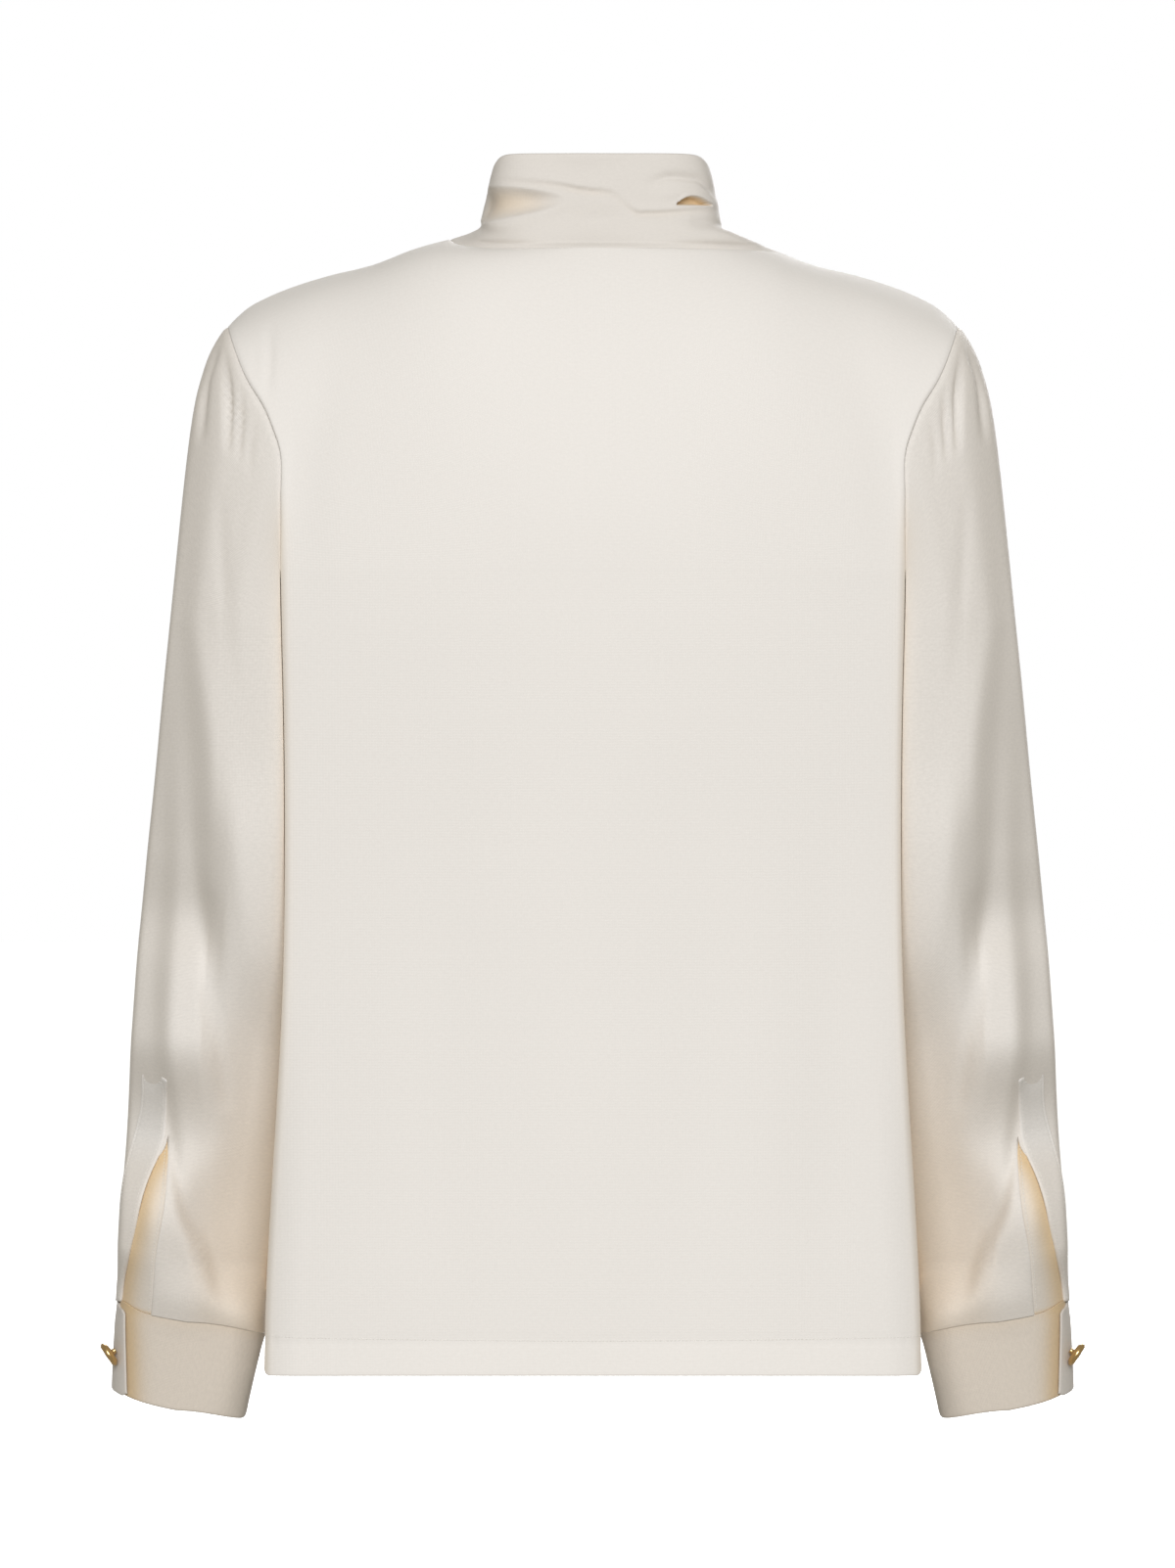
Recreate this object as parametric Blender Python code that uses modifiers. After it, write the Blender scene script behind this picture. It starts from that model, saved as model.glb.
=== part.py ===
"""Silk blouse with a crushed stand collar, long sleeves and buttoned cuffs.

The blouse hangs hollow, as it is worn.  Metres, +Z up.  The wearer faces -Y,
the wearer's left is +X, and the origin lies between the shoulders, level with
the neck seam.  Tables and driving dimensions are in millimetres.

Each piece of cloth is an open grid of points, worked out row by row, which a
Solidify modifier turns into a wall that grows inward.
"""
import math

import bmesh
import bpy
import numpy as np
from mathutils import Vector

MM = 0.001

# Walls, and the gap that neighbouring pieces keep at a seam
BODY_WALL = 1.2
SLEEVE_WALL = 1.2
LAP_WALL = 1.2
COLLAR_WALL = 1.6
CUFF_WALL = 2.0
SEAM = 0.3

# Torso
UNDERARM_Z = -185.0
SHOULDER_TIP_Z = -43.5
SHOULDER_TIP_X = 206.5
COLUMN_SPREAD = 0.83          # below 1 the panel's columns crowd towards its side
NECK_COLUMNS = 6              # grid columns from the centre to the neck point
SHOULDER_COLUMNS = 7          # grid columns from the neck point to the armhole
NECK_SHARE = 0.36             # where the neck point falls between centre and side
LOWER_ROWS = 7                # grid rows from the hem to the underarm
ARMHOLE_STEPS = 14            # grid rows from the underarm to the shoulder tip
NECK_SLOPE = 65.0             # degrees of arc from the underarm level to the neck
NECK_SPREAD = 0.75            # the neck's fullness spreads this far towards the side
NECK_SPREAD_END = 4.0         # and gives way to the neckline this fast
ARMHOLE_FADE = 3.0            # how fast the armhole's pull on the rows dies away inward

TORSO_SECTIONS = [
    dict(z=-639.0, half_width=186.0, back=103.0, front=112.0),
    dict(z=-591.0, half_width=184.8, back=102.0, front=112.0),
    dict(z=-536.0, half_width=182.0, back=101.0, front=112.0),
    dict(z=-480.0, half_width=179.0, back=100.5, front=112.5),
    dict(z=-425.0, half_width=175.6, back=100.5, front=113.5),
    dict(z=-341.0, half_width=172.8, back=102.0, front=116.0),
    dict(z=-258.0, half_width=173.4, back=105.0, front=119.0),
    dict(z=-185.0, half_width=174.0, back=108.0, front=118.0),
]

# The armhole's distance from the centre, from the underarm up to the shoulder
ARMHOLE_EDGE = [
    dict(z=-185.0, x=174.0),
    dict(z=-145.0, x=174.3),
    dict(z=-114.0, x=175.8),
    dict(z=-105.0, x=179.0),
    dict(z=-92.0, x=184.5),
    dict(z=-78.0, x=193.0),
    dict(z=-54.0, x=203.0),
    dict(z=-43.5, x=206.5),
]

SHOULDER_LINE = [
    dict(x=75.0, z=7.5),
    dict(x=102.0, z=-0.1),
    dict(x=122.0, z=-8.0),
    dict(x=151.0, z=-15.0),
    dict(x=173.0, z=-21.9),
    dict(x=183.0, z=-26.0),
    dict(x=197.0, z=-34.0),
    dict(x=206.5, z=-43.5),
]

# depth: column of the sections; armhole: how far the armhole swings out; fall: how much of the
# depth is lost from the centre to the side; corner and root: how tightly and how fully the
# section turns in to its side edge
PANELS = {
    "back": dict(facing=1, depth="back", armhole=58.0, neck_y=62.0, neck_z=-3.0, hem_lift=8.0,
                 fall=0.28, corner=26.0, root=2.0),
    "front": dict(facing=-1, depth="front", armhole=62.0, neck_y=86.0, neck_z=-68.0, hem_lift=7.0,
                  fall=0.0, corner=2.4, root=2.4),
}
FRONT_SLIT_LENGTH = 185.0
FRONT_SLIT_WIDTH = 2.0

# The neckline sits a little to the wearer's right
NECK_HALF_WIDTH = {"left": 80.0, "right": 108.0}
SIDES = {"left": 1, "right": -1}

# Stand collar: half width at each share of its height, per side
COLLAR_WIDTHS = {
    "left": [
        dict(share=0.00, half=80.0),
        dict(share=0.08, half=71.5),
        dict(share=0.17, half=65.5),
        dict(share=0.35, half=64.0),
        dict(share=0.60, half=61.0),
        dict(share=0.85, half=58.3),
        dict(share=1.00, half=56.0),
    ],
    "right": [
        dict(share=0.00, half=108.0),
        dict(share=0.10, half=98.0),
        dict(share=0.22, half=85.0),
        dict(share=0.34, half=74.5),
        dict(share=0.50, half=72.2),
        dict(share=0.68, half=70.5),
        dict(share=0.88, half=68.3),
        dict(share=1.00, half=66.3),
    ],
}
COLLAR_DEPTHS = [
    dict(share=0.00, back=62.0, front=86.0),
    dict(share=0.12, back=57.0, front=82.0),
    dict(share=0.30, back=54.0, front=79.0),
    dict(share=0.60, back=52.0, front=75.0),
    dict(share=1.00, back=50.0, front=72.0),
]
COLLAR_TOP_BACK = 54.0
COLLAR_TOP_SIDE = 46.5
COLLAR_TOP_FRONT = -12.0
COLLAR_CORNER = 12            # how tightly the top edge rounds at the sides
COLLAR_ROWS = 12
COLLAR_COLUMNS = 12           # per half, from centre back to centre front
COLLAR_FRONT_GAP = 2.0
COLLAR_SEAM_TURN = 0.02       # a narrow column keeps the centre-back edge square

# The crease where the collar's upper half slumps over its lower half, seen from behind
COLLAR_CREASE = [
    dict(x=-72.0, z=25.0, depth=2.5),
    dict(x=-58.0, z=25.5, depth=5.0),
    dict(x=-45.0, z=22.5, depth=3.5),
    dict(x=-24.0, z=23.0, depth=3.0),
    dict(x=-12.0, z=33.0, depth=2.5),
    dict(x=18.0, z=36.0, depth=2.5),
    dict(x=40.0, z=35.0, depth=4.0),
    dict(x=64.0, z=33.0, depth=3.5),
]
CREASE_HEIGHT = 7.0
CREASE_LIP = 0.35             # the upper edge stands out by this share of the depth

# Sleeve rings.  outer and inner are the ring's extremes along X, y its middle,
# ry its half depth, shear how far its inner side leans forward, tilt its slope and
# square the exponent of its quarter beside the back panel
SLEEVE_RINGS = [
    dict(z=-213.0, outer=239.0, inner=174.6, y=-12.0, ry=73.0, shear=0.12, tilt=0.0, square=4.4),
    dict(z=-258.0, outer=243.9, inner=174.2, y=-14.0, ry=72.0, shear=0.12, tilt=0.5, square=4.4),
    dict(z=-302.0, outer=248.3, inner=173.6, y=-17.0, ry=70.0, shear=0.12, tilt=1.0, square=4.4),
    dict(z=-347.0, outer=253.3, inner=173.2, y=-20.5, ry=66.5, shear=0.12, tilt=2.0, square=4.4),
    dict(z=-391.0, outer=257.8, inner=174.2, y=-24.5, ry=62.5, shear=0.12, tilt=3.0, square=4.2),
    dict(z=-436.0, outer=261.5, inner=176.4, y=-29.0, ry=58.0, shear=0.11, tilt=4.0, square=3.8),
    dict(z=-480.0, outer=264.5, inner=179.0, y=-32.0, ry=55.0, shear=0.10, tilt=5.0, square=3.3),
    dict(z=-524.0, outer=267.0, inner=181.5, y=-35.0, ry=51.0, shear=0.08, tilt=6.0, square=2.8),
    dict(z=-569.0, outer=268.8, inner=184.3, y=-38.0, ry=46.0, shear=0.05, tilt=7.0, square=2.4),
    dict(z=-592.0, outer=269.6, inner=185.8, y=-39.5, ry=40.0, shear=0.02, tilt=7.4, square=2.2),
    dict(z=-605.7, outer=270.5, inner=186.8, y=-40.0, ry=31.5, shear=0.0, tilt=7.5, square=2.2),
]
SLEEVE_SQUARENESS = 2.2
SLEEVE_COLUMNS = 2 * ARMHOLE_STEPS
CAP_BOTTOM_Z = SLEEVE_RINGS[0]["z"]
CAP_SHARES = (0.0, 0.07, 0.16, 0.28, 0.44, 0.70)
CAP_SWELL = 0.12              # share of the cap's height in which it rounds out
CAP_SWELL_TOP = 0.51          # how much of the width is gained there, at the top
CAP_SWELL_UNDER = 0.15        # and under the arm
TUBE_HEIGHTS = (-213.0, -255.0, -298.0, -335.0, -370.0, -410.0, -450.0, -480.0,
                -505.0, -511.0, -518.0, -526.0, -535.0, -546.0, -560.0, -575.0, -591.0, -605.7)
ARMHOLE_CLEAR = 0.45          # the sleeve starts this far outside the armhole's edge

# Wrist slit with its two laps; angles run from the outer side, 0, to the back, 90
SLIT_TOP_Z = -505.0
SEAM_ANGLE = 5 * 180.0 / ARMHOLE_STEPS    # the grid's first column above the slit
SLIT_BACK = [                 # the slit's back edge, and the first column down to it
    dict(z=-213.0, angle=SEAM_ANGLE),
    dict(z=-320.0, angle=SEAM_ANGLE + 2.0),
    dict(z=-450.0, angle=71.5),
    dict(z=-490.0, angle=73.0),
    dict(z=-520.0, angle=72.5),
    dict(z=-536.0, angle=71.0),
    dict(z=-548.0, angle=69.5),
    dict(z=-561.0, angle=65.5),
    dict(z=-573.0, angle=62.0),
    dict(z=-606.0, angle=58.5),
]
SLIT_LIFT = 3.0               # the front edge rides this far above the back edge
SLIT_LIFT_FROM = 300.0
SLIT_LIFT_TO = 350.0
PLACKET = [                   # its free edge, and its width in degrees of the sleeve
    dict(z=-470.0, edge=73.5, width=24.0),
    dict(z=-495.0, edge=74.0, width=24.5),
    dict(z=-505.0, edge=73.0, width=29.0),
    dict(z=-517.0, edge=68.0, width=34.0),
    dict(z=-528.0, edge=61.0, width=36.0),
    dict(z=-546.0, edge=53.0, width=36.0),
    dict(z=-565.0, edge=42.5, width=35.0),
    dict(z=-580.0, edge=30.5, width=34.0),
    dict(z=-596.0, edge=19.0, width=32.0),
    dict(z=-606.0, edge=14.0, width=30.0),
]
PLACKET_CLEAR = 0.5           # above the sleeve's outer face
LAP_TOP_Z = -472.5
LAP_ARCH = 3.0                # its top edge rises to this in the middle
PANEL_EDGE_BACKSET = 12.0     # the sleeve's own edge stops this far under the placket
BACKSET_RUN = 40.0            # reached this far below the slit's top
LAP_COLUMNS = 6
UNDERLAP_TOP_Z = -498.0
UNDERLAP_HIDDEN_FRONT = 20.0
UNDERLAP_HIDDEN_BACK = 7.0
UNDERLAP_CLEAR = 1.3          # below the sleeve's inner face

# Folds in the sleeve's wall: each runs straight from start to end
SLEEVE_FOLDS = [
    dict(name="wrist trough", from_angle=79.0, from_z=-530.0, to_angle=116.0, to_z=-592.0,
         width=8.0, depth=-5.0),
    dict(name="wrist swell", from_angle=70.0, from_z=-572.0, to_angle=84.0, to_z=-588.0,
         width=11.0, depth=3.5),
    dict(name="elbow trough back", from_angle=118.0, from_z=-330.0, to_angle=64.0, to_z=-395.0,
         width=13.0, depth=-3.5),
    dict(name="elbow trough front", from_angle=250.0, from_z=-315.0, to_angle=296.0, to_z=-385.0,
         width=13.0, depth=-4.0),
    dict(name="elbow trough inner", from_angle=222.0, from_z=-372.0, to_angle=262.0, to_z=-420.0,
         width=11.0, depth=-3.0),
]
FOLD_RADIUS = 50.0            # turns an angle on the sleeve into a distance

# Cuff: one band that starts under its own end and comes round over it
CUFF_START_ANGLE = 2.0
CUFF_END_ANGLE = 392.0
CUFF_COLUMNS = 36
CUFF_HEIGHT_ROWS = 4
CUFF_TOP = dict(outer=270.5, inner=186.8, y=-40.0, ry=31.5)
CUFF_BOTTOM = dict(outer=273.0, inner=197.5, y=-40.0, ry=30.5)
CUFF_TOP_Z = -606.0
CUFF_TOP_TILT = 7.5
CUFF_BOTTOM_Z = -656.0
CUFF_BOTTOM_TILT = 7.5
CUFF_BOTTOM_SLOPE = -3.2
CUFF_LAP_DROP = 4.0           # the outer layer's top edge sits this much lower
CUFF_DROP_FROM = 362.0
CUFF_DROP_TO = 382.0

# Shank button on the cuff's outer layer
BUTTON_ANGLE = 25.0
BUTTON_SHARE = 0.53           # down the cuff
BUTTON_STANDOFF = 5.6
BUTTON_TILT = 34.0            # it hangs face down by this much
BUTTON_SEGMENTS = 18
BUTTON_PROFILE = [            # radius and height, from the face's middle to the shank's foot
    (0.0, 2.3), (3.2, 2.1), (5.4, 1.5), (5.8, 2.1), (6.6, 2.2), (7.3, 1.5), (7.4, 0.4),
    (6.6, -1.0), (4.2, -1.9), (1.9, -2.1), (1.6, -3.9), (0.0, -3.9),
]

FINISHES = {
    "silk": dict(colour=(0.79, 0.75, 0.70, 1.0), roughness=0.55, metallic=0.0),
    "gilt": dict(colour=(0.62, 0.42, 0.18, 1.0), roughness=0.28, metallic=1.0),
}


def column(table, name):
    """One column of a table as an array."""
    return np.array([row[name] for row in table])


def along(table, key, name, at):
    """Read a column at any key, on a smooth curve through the rows."""
    keys = column(table, key)
    values = column(table, name)
    order = np.argsort(keys)
    keys = keys[order]
    values = values[order]
    slopes = np.gradient(values, keys)
    at = np.clip(np.asarray(at, dtype=float), keys[0], keys[-1])
    left = np.clip(np.searchsorted(keys, at, side="right") - 1, 0, len(keys) - 2)
    step = keys[left + 1] - keys[left]
    share = (at - keys[left]) / step
    square = share * share
    cube = square * share
    return ((2 * cube - 3 * square + 1) * values[left]
            + (cube - 2 * square + share) * step * slopes[left]
            + (3 * square - 2 * cube) * values[left + 1]
            + (cube - square) * step * slopes[left + 1])


def ease(value):
    """Smooth step from 0 to 1."""
    value = np.clip(value, 0.0, 1.0)
    return value * value * (3.0 - 2.0 * value)


def power(value, exponent):
    """Signed power, which squares off a circle's sine and cosine."""
    return np.sign(value) * np.abs(value) ** exponent


def stack(x, y, z):
    """Three arrays or numbers as one array of points."""
    return np.stack(np.broadcast_arrays(x, y, z), axis=-1).astype(float)


# ---------------------------------------------------------------- torso

def armhole(angle, bulge):
    """Armhole edge: angle 0 is the underarm and pi the shoulder tip."""
    z = UNDERARM_Z + (SHOULDER_TIP_Z - UNDERARM_Z) * (1.0 - np.cos(angle)) / 2.0
    x = along(ARMHOLE_EDGE, "z", "x", z)
    y = bulge * np.abs(np.sin(angle)) ** 0.9
    return stack(x, y, z)


def neck_point_z(side):
    """Height at which the neckline meets the shoulder seam."""
    return float(along(SHOULDER_LINE, "x", "z", NECK_HALF_WIDTH[side]))


def neckline(side, turn):
    """Neck seam: turn 0 is the centre back, pi/2 the neck point, pi the centre front."""
    turn = np.asarray(turn, dtype=float)
    behind = turn <= math.pi / 2 + 1e-9
    back = PANELS["back"]
    front = PANELS["front"]
    z_side = neck_point_z(side)
    x = NECK_HALF_WIDTH[side] * np.sin(turn)
    y = np.where(behind, back["neck_y"], front["neck_y"]) * np.cos(turn)
    z_back = back["neck_z"] + (z_side - back["neck_z"]) * (1.0 - np.cos(turn)) ** 2
    z_front = front["neck_z"] + (z_side - front["neck_z"]) * np.sin(turn) ** 2
    return stack(SIDES[side] * x, y, np.where(behind, z_back, z_front))


def half_columns():
    """Grid columns of half a panel, as shares from the centre, 0, to the side, 1."""
    neck = np.linspace(0.0, NECK_SHARE, NECK_COLUMNS + 1)
    shoulder = np.linspace(NECK_SHARE, 1.0, SHOULDER_COLUMNS + 1)[1:]
    return np.concatenate([neck, shoulder])


def side_shares():
    """How far across the section each column lies, from the centre, 0, to the side, 1."""
    return power(np.sin(half_columns() * math.pi / 2), COLUMN_SPREAD)


def turned_in(panel):
    """How much of its depth each column loses where the section turns in to its side edge."""
    return 1.0 - (1.0 - side_shares() ** panel["corner"]).clip(0.0) ** (1.0 / panel["root"])


def torso_row(panel, z):
    """Row of half a panel below the underarm, before its side turns in."""
    across = side_shares()
    half = along(TORSO_SECTIONS, "z", "half_width", z)
    depth = along(TORSO_SECTIONS, "z", panel["depth"], z)
    lift = panel["hem_lift"] * (UNDERARM_Z - z) / (UNDERARM_Z - TORSO_SECTIONS[0]["z"])
    share = 1.0 - panel["fall"] * across ** 2
    return stack(half * across, depth * share, z + lift * share * (1.0 - turned_in(panel)))


def top_row(panel, side):
    """Neck seam, then shoulder seam, of half a panel."""
    shares = half_columns()
    in_neck = shares <= NECK_SHARE + 1e-9
    turn = np.clip(shares / NECK_SHARE, 0.0, 1.0) * math.pi / 2
    if panel["facing"] < 0:
        turn = math.pi - turn
    neck = np.abs(neckline(side, turn))
    neck[:, 2] = neckline(side, turn)[:, 2]
    run = np.clip((shares - NECK_SHARE) / (1.0 - NECK_SHARE), 0.0, 1.0)
    x = NECK_HALF_WIDTH[side] + (SHOULDER_TIP_X - NECK_HALF_WIDTH[side]) * run
    shoulder = stack(x, 0.0, along(SHOULDER_LINE, "x", "z", x))
    return np.where(in_neck[:, None], neck, shoulder)


def torso_half(panel, side):
    """Points of half a panel, rows from the hem to the top, columns from the centre out."""
    turn_in = turned_in(panel)
    rows = []
    for z in np.linspace(TORSO_SECTIONS[0]["z"], UNDERARM_Z, LOWER_ROWS + 1):
        base = torso_row(panel, z)
        rows.append(base - stack(0.0, turn_in * base[-1, 1], 0.0))
    top = top_row(panel, side)
    shares = half_columns()
    arc = np.radians(NECK_SLOPE + (90.0 - NECK_SLOPE) * ease(shares / NECK_SHARE))
    soft = panel["neck_y"] * (1.0 - ease(shares / NECK_SPREAD))
    fade = shares[:, None] ** ARMHOLE_FADE
    for step in range(1, ARMHOLE_STEPS + 1):
        share = step / ARMHOLE_STEPS
        rise = np.sin(arc * share) / np.sin(arc)
        fall = (np.cos(arc * share) - np.cos(arc)) / (1.0 - np.cos(arc))
        reach = soft + (top[:, 1] - soft) * share ** NECK_SPREAD_END
        row = stack(base[:, 0] + (top[:, 0] - base[:, 0]) * rise,
                    reach + (base[:, 1] - reach) * fall,
                    base[:, 2] + (top[:, 2] - base[:, 2]) * rise)
        pull = armhole(math.pi * share, panel["armhole"]) - row[-1]
        row[:, 1] += turn_in * pull[1]
        row[:, [0, 2]] += fade * pull[[0, 2]]
        rows.append(row)
    points = np.array(rows)
    points[:, :, 1] = panel["facing"] * (points[:, :, 1] + SEAM / 2)
    points[:, :, 0] *= SIDES[side]
    return points


def torso_panel(name, slit):
    """Whole panel from its two halves; with a slit its centre column is doubled."""
    panel = PANELS[name]
    left = torso_half(panel, "left")
    right = torso_half(panel, "right")
    if slit:
        left[:, 0, 0] = FRONT_SLIT_WIDTH / 2
        right[:, 0, 0] = -FRONT_SLIT_WIDTH / 2
        return np.concatenate([right[:, ::-1], left], axis=1)
    return np.concatenate([right[:, :0:-1], left], axis=1)


# ---------------------------------------------------------------- collar

def collar_point(side, turn, share):
    """Collar wall: turn 0 is the centre back and pi the centre front, share its height."""
    turn = np.asarray(turn, dtype=float)
    behind = turn <= math.pi / 2 + 1e-9
    seam = neckline(side, turn)
    half = along(COLLAR_WIDTHS[side], "share", "half", share)
    back = along(COLLAR_DEPTHS, "share", "back", share)
    front = along(COLLAR_DEPTHS, "share", "front", share)
    corner = np.abs(np.sin(turn)) ** COLLAR_CORNER
    top_back = COLLAR_TOP_BACK + (COLLAR_TOP_SIDE - COLLAR_TOP_BACK) * corner
    top_front = COLLAR_TOP_FRONT + (COLLAR_TOP_SIDE - COLLAR_TOP_FRONT) * np.sin(turn) ** 2
    z = seam[:, 2] + (np.where(behind, top_back, top_front) - seam[:, 2]) * share
    x = SIDES[side] * half * np.sin(turn)
    y = np.where(behind, back, front) * np.cos(turn)
    crease = along(COLLAR_CREASE, "x", "z", x)
    depth = along(COLLAR_CREASE, "x", "depth", x) * ease((y + 20.0) / 40.0)
    below = np.exp(-((z - crease + 0.6 * CREASE_HEIGHT) / CREASE_HEIGHT) ** 2)
    above = np.exp(-((z - crease - 0.7 * CREASE_HEIGHT) / CREASE_HEIGHT) ** 2)
    move = depth * (CREASE_LIP * above - below) * ease(share * 5.0)
    reach = np.hypot(x, y)
    return stack(x + move * x / reach, y + move * y / reach, z + SEAM)


def collar_half(side):
    """Grid of one collar half, with a gap at the centre back and the centre front."""
    turns = np.linspace(0.0, math.pi, COLLAR_COLUMNS + 1)
    turns = np.insert(turns, 1, COLLAR_SEAM_TURN)
    points = np.array([collar_point(side, turns, share)
                       for share in np.linspace(0.0, 1.0, COLLAR_ROWS + 1)])
    points[:, 0, 0] = SIDES[side] * SEAM / 2
    points[:, -1, 0] = SIDES[side] * COLLAR_FRONT_GAP / 2
    return points


# ---------------------------------------------------------------- sleeve

def ring(values, angles, squareness, out):
    """Superellipse ring from its extremes: its inner side leans forward, and the quarter of it
    behind that side can be squarer."""
    middle = (values["outer"] + values["inner"]) / 2
    half = (values["outer"] - values["inner"]) / 2
    shear = values.get("shear", 0.0)
    rx = np.sqrt(half ** 2 - (shear * values["ry"]) ** 2)
    turn = np.radians(angles)
    cosine, sine = np.cos(turn), np.sin(turn)
    behind = (cosine < 0.0) & (sine > 0.0)
    bend = 2.0 / np.where(behind, values.get("square", squareness), squareness)
    along_x = rx * power(cosine, bend)
    across = values["ry"] * power(sine, bend)
    lean = shear * across * np.where(behind, 1.0 - ease(-cosine), 1.0)
    normal = stack(cosine / rx, sine / values["ry"], 0.0)
    normal /= np.linalg.norm(normal, axis=-1, keepdims=True)
    flat = stack(middle + along_x + lean, values["y"] + across, 0.0)
    return flat + normal * np.asarray(out)[..., None]


def ring_values(z):
    """The sleeve's ring at any height."""
    return {name: along(SLEEVE_RINGS, "z", name, z)
            for name in ("outer", "inner", "y", "ry", "shear", "tilt", "square")}


def fold_depth(angles, z):
    """Sum of the sleeve's folds: soft troughs and ridges that taper at both ends."""
    total = np.zeros(len(angles))
    turn = np.asarray(angles) % 360.0
    for fold in SLEEVE_FOLDS:
        length = math.radians(fold["to_angle"] - fold["from_angle"]) * FOLD_RADIUS
        fall = fold["to_z"] - fold["from_z"]
        run = math.hypot(length, fall)
        ahead = np.radians(turn - fold["from_angle"]) * FOLD_RADIUS
        drop = z - fold["from_z"]
        share = np.clip((ahead * length + drop * fall) / run ** 2, 0.0, 1.0)
        apart = np.hypot(ahead - share * length, drop - share * fall)
        taper = np.sin(math.pi * (0.12 + 0.76 * share))
        total += fold["depth"] * taper * np.exp(-(apart / fold["width"]) ** 2)
    return total


def slit_lift(angles, z):
    """How far the sleeve's front edge rides above its back edge below the slit's top."""
    down = ease((SLIT_TOP_Z - z) / (SLIT_TOP_Z - CUFF_TOP_Z))
    return SLIT_LIFT * down * ease((angles - SLIT_LIFT_FROM) / (SLIT_LIFT_TO - SLIT_LIFT_FROM))


def tube_point(angles, z, out=0.0):
    """Sleeve wall below the cap; angles may run past 360 on the slit's front edge."""
    values = ring_values(z)
    settle = ease((z - CUFF_TOP_Z) / 12.0)
    move = slit_lift(angles, z) + settle * fold_depth(angles, z) + out
    points = ring(values, angles, SLEEVE_SQUARENESS, move)
    points[..., 2] = z + values["tilt"] * np.cos(np.radians(angles))
    return points


def cap_point(angles, share):
    """Sleeve cap: from the armhole, share 0, to the first ring of the tube, share 1."""
    turn = np.radians(angles)
    behind = np.sin(turn) >= 0.0
    seam_back = armhole(math.pi - turn, PANELS["back"]["armhole"] + SEAM / 2)
    seam_front = armhole(math.pi - turn, PANELS["front"]["armhole"] + SEAM / 2)
    seam_front[:, 1] *= -1.0
    seam = np.where(behind[:, None], seam_back, seam_front)
    seam[:, 0] += ARMHOLE_CLEAR
    first = tube_point(angles, CAP_BOTTOM_Z)
    swell = CAP_SWELL_UNDER + (CAP_SWELL_TOP - CAP_SWELL_UNDER) * (1.0 + np.cos(turn)) / 2.0
    quick = (1.0 - np.exp(-share / CAP_SWELL)) / (1.0 - math.exp(-1.0 / CAP_SWELL))
    gain = swell * quick + (1.0 - swell) * share
    points = seam + (first - seam) * gain[:, None]
    points[:, 2] = seam[:, 2] + (first[:, 2] - seam[:, 2]) * share
    return points


def slit_back(z):
    """Angle of the slit's back edge, and of the sleeve's first column above the slit."""
    return float(along(SLIT_BACK, "z", "angle", z))


def placket_edge(z):
    """Angle of the placket's free edge."""
    return float(along(PLACKET, "z", "edge", z))


def panel_edge(z):
    """Angle of the sleeve's own front edge along the slit."""
    backset = PANEL_EDGE_BACKSET * float(ease((SLIT_TOP_Z - z) / BACKSET_RUN))
    opened = float(ease((SLIT_TOP_Z - z) / BACKSET_RUN * 2.0))
    return slit_back(z) + (placket_edge(z) - slit_back(z)) * opened - backset


def sleeve_grid():
    """Rings from the armhole to the cuff, columns from the slit's back edge round to its front."""
    whole = SEAM_ANGLE + np.linspace(0.0, 360.0, SLEEVE_COLUMNS + 1)
    rows = [cap_point(whole, share) for share in CAP_SHARES]
    closed = [True] * len(rows)
    for z in TUBE_HEIGHTS:
        slit = z < SLIT_TOP_Z
        start = slit_back(z)
        end = 360.0 + (panel_edge(z) if slit else start)
        angles = np.linspace(start, end, SLEEVE_COLUMNS + 1)
        rows.append(tube_point(angles, z))
        closed.append(not slit)
    return np.array(rows), closed


def lap_strip(span, top, out, arch=0.0):
    """Strip on the sleeve from a height down to the cuff; span gives its two edge angles."""
    heights = [top] + [z for z in TUBE_HEIGHTS if z < top - 1.0]
    across = np.linspace(0.0, 1.0, LAP_COLUMNS + 1)
    rows = []
    for z in heights:
        first, last = span(z)
        rows.append(tube_point(first + (last - first) * across, z, out))
    rows[0][:, 2] += arch * np.sin(math.pi * across)
    return np.array(rows)


def placket_grid():
    """Tower placket, outside the sleeve's front edge."""
    def span(z):
        edge = 360.0 + placket_edge(z)
        return edge - float(along(PLACKET, "z", "width", z)), edge
    return lap_strip(span, LAP_TOP_Z, PLACKET_CLEAR + LAP_WALL, LAP_ARCH)


def underlap_grid():
    """Narrow lap inside the slit's back edge, which reaches under the placket."""
    def span(z):
        return placket_edge(z) - UNDERLAP_HIDDEN_FRONT, slit_back(z) + UNDERLAP_HIDDEN_BACK
    return lap_strip(span, UNDERLAP_TOP_Z, -UNDERLAP_CLEAR - SLEEVE_WALL)


# ---------------------------------------------------------------- cuff and button

def cuff_point(angles, share):
    """Cuff wall: angles pass 360 on the outer layer, share runs from top to bottom."""
    values = {name: CUFF_TOP[name] + (CUFF_BOTTOM[name] - CUFF_TOP[name]) * share
              for name in CUFF_TOP}
    turn = np.radians(angles)
    lift = SLIT_LIFT * ease((angles - SLIT_LIFT_FROM) / (SLIT_LIFT_TO - SLIT_LIFT_FROM))
    points = ring(values, angles, SLEEVE_SQUARENESS, lift)
    top = CUFF_TOP_Z + CUFF_TOP_TILT * np.cos(turn)
    top = top - CUFF_LAP_DROP * ease((angles - CUFF_DROP_FROM) / (CUFF_DROP_TO - CUFF_DROP_FROM))
    bottom = CUFF_BOTTOM_Z + CUFF_BOTTOM_TILT * np.cos(turn) + CUFF_BOTTOM_SLOPE * np.sin(turn)
    points[:, 2] = top + (bottom - top) * share
    return points


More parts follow.
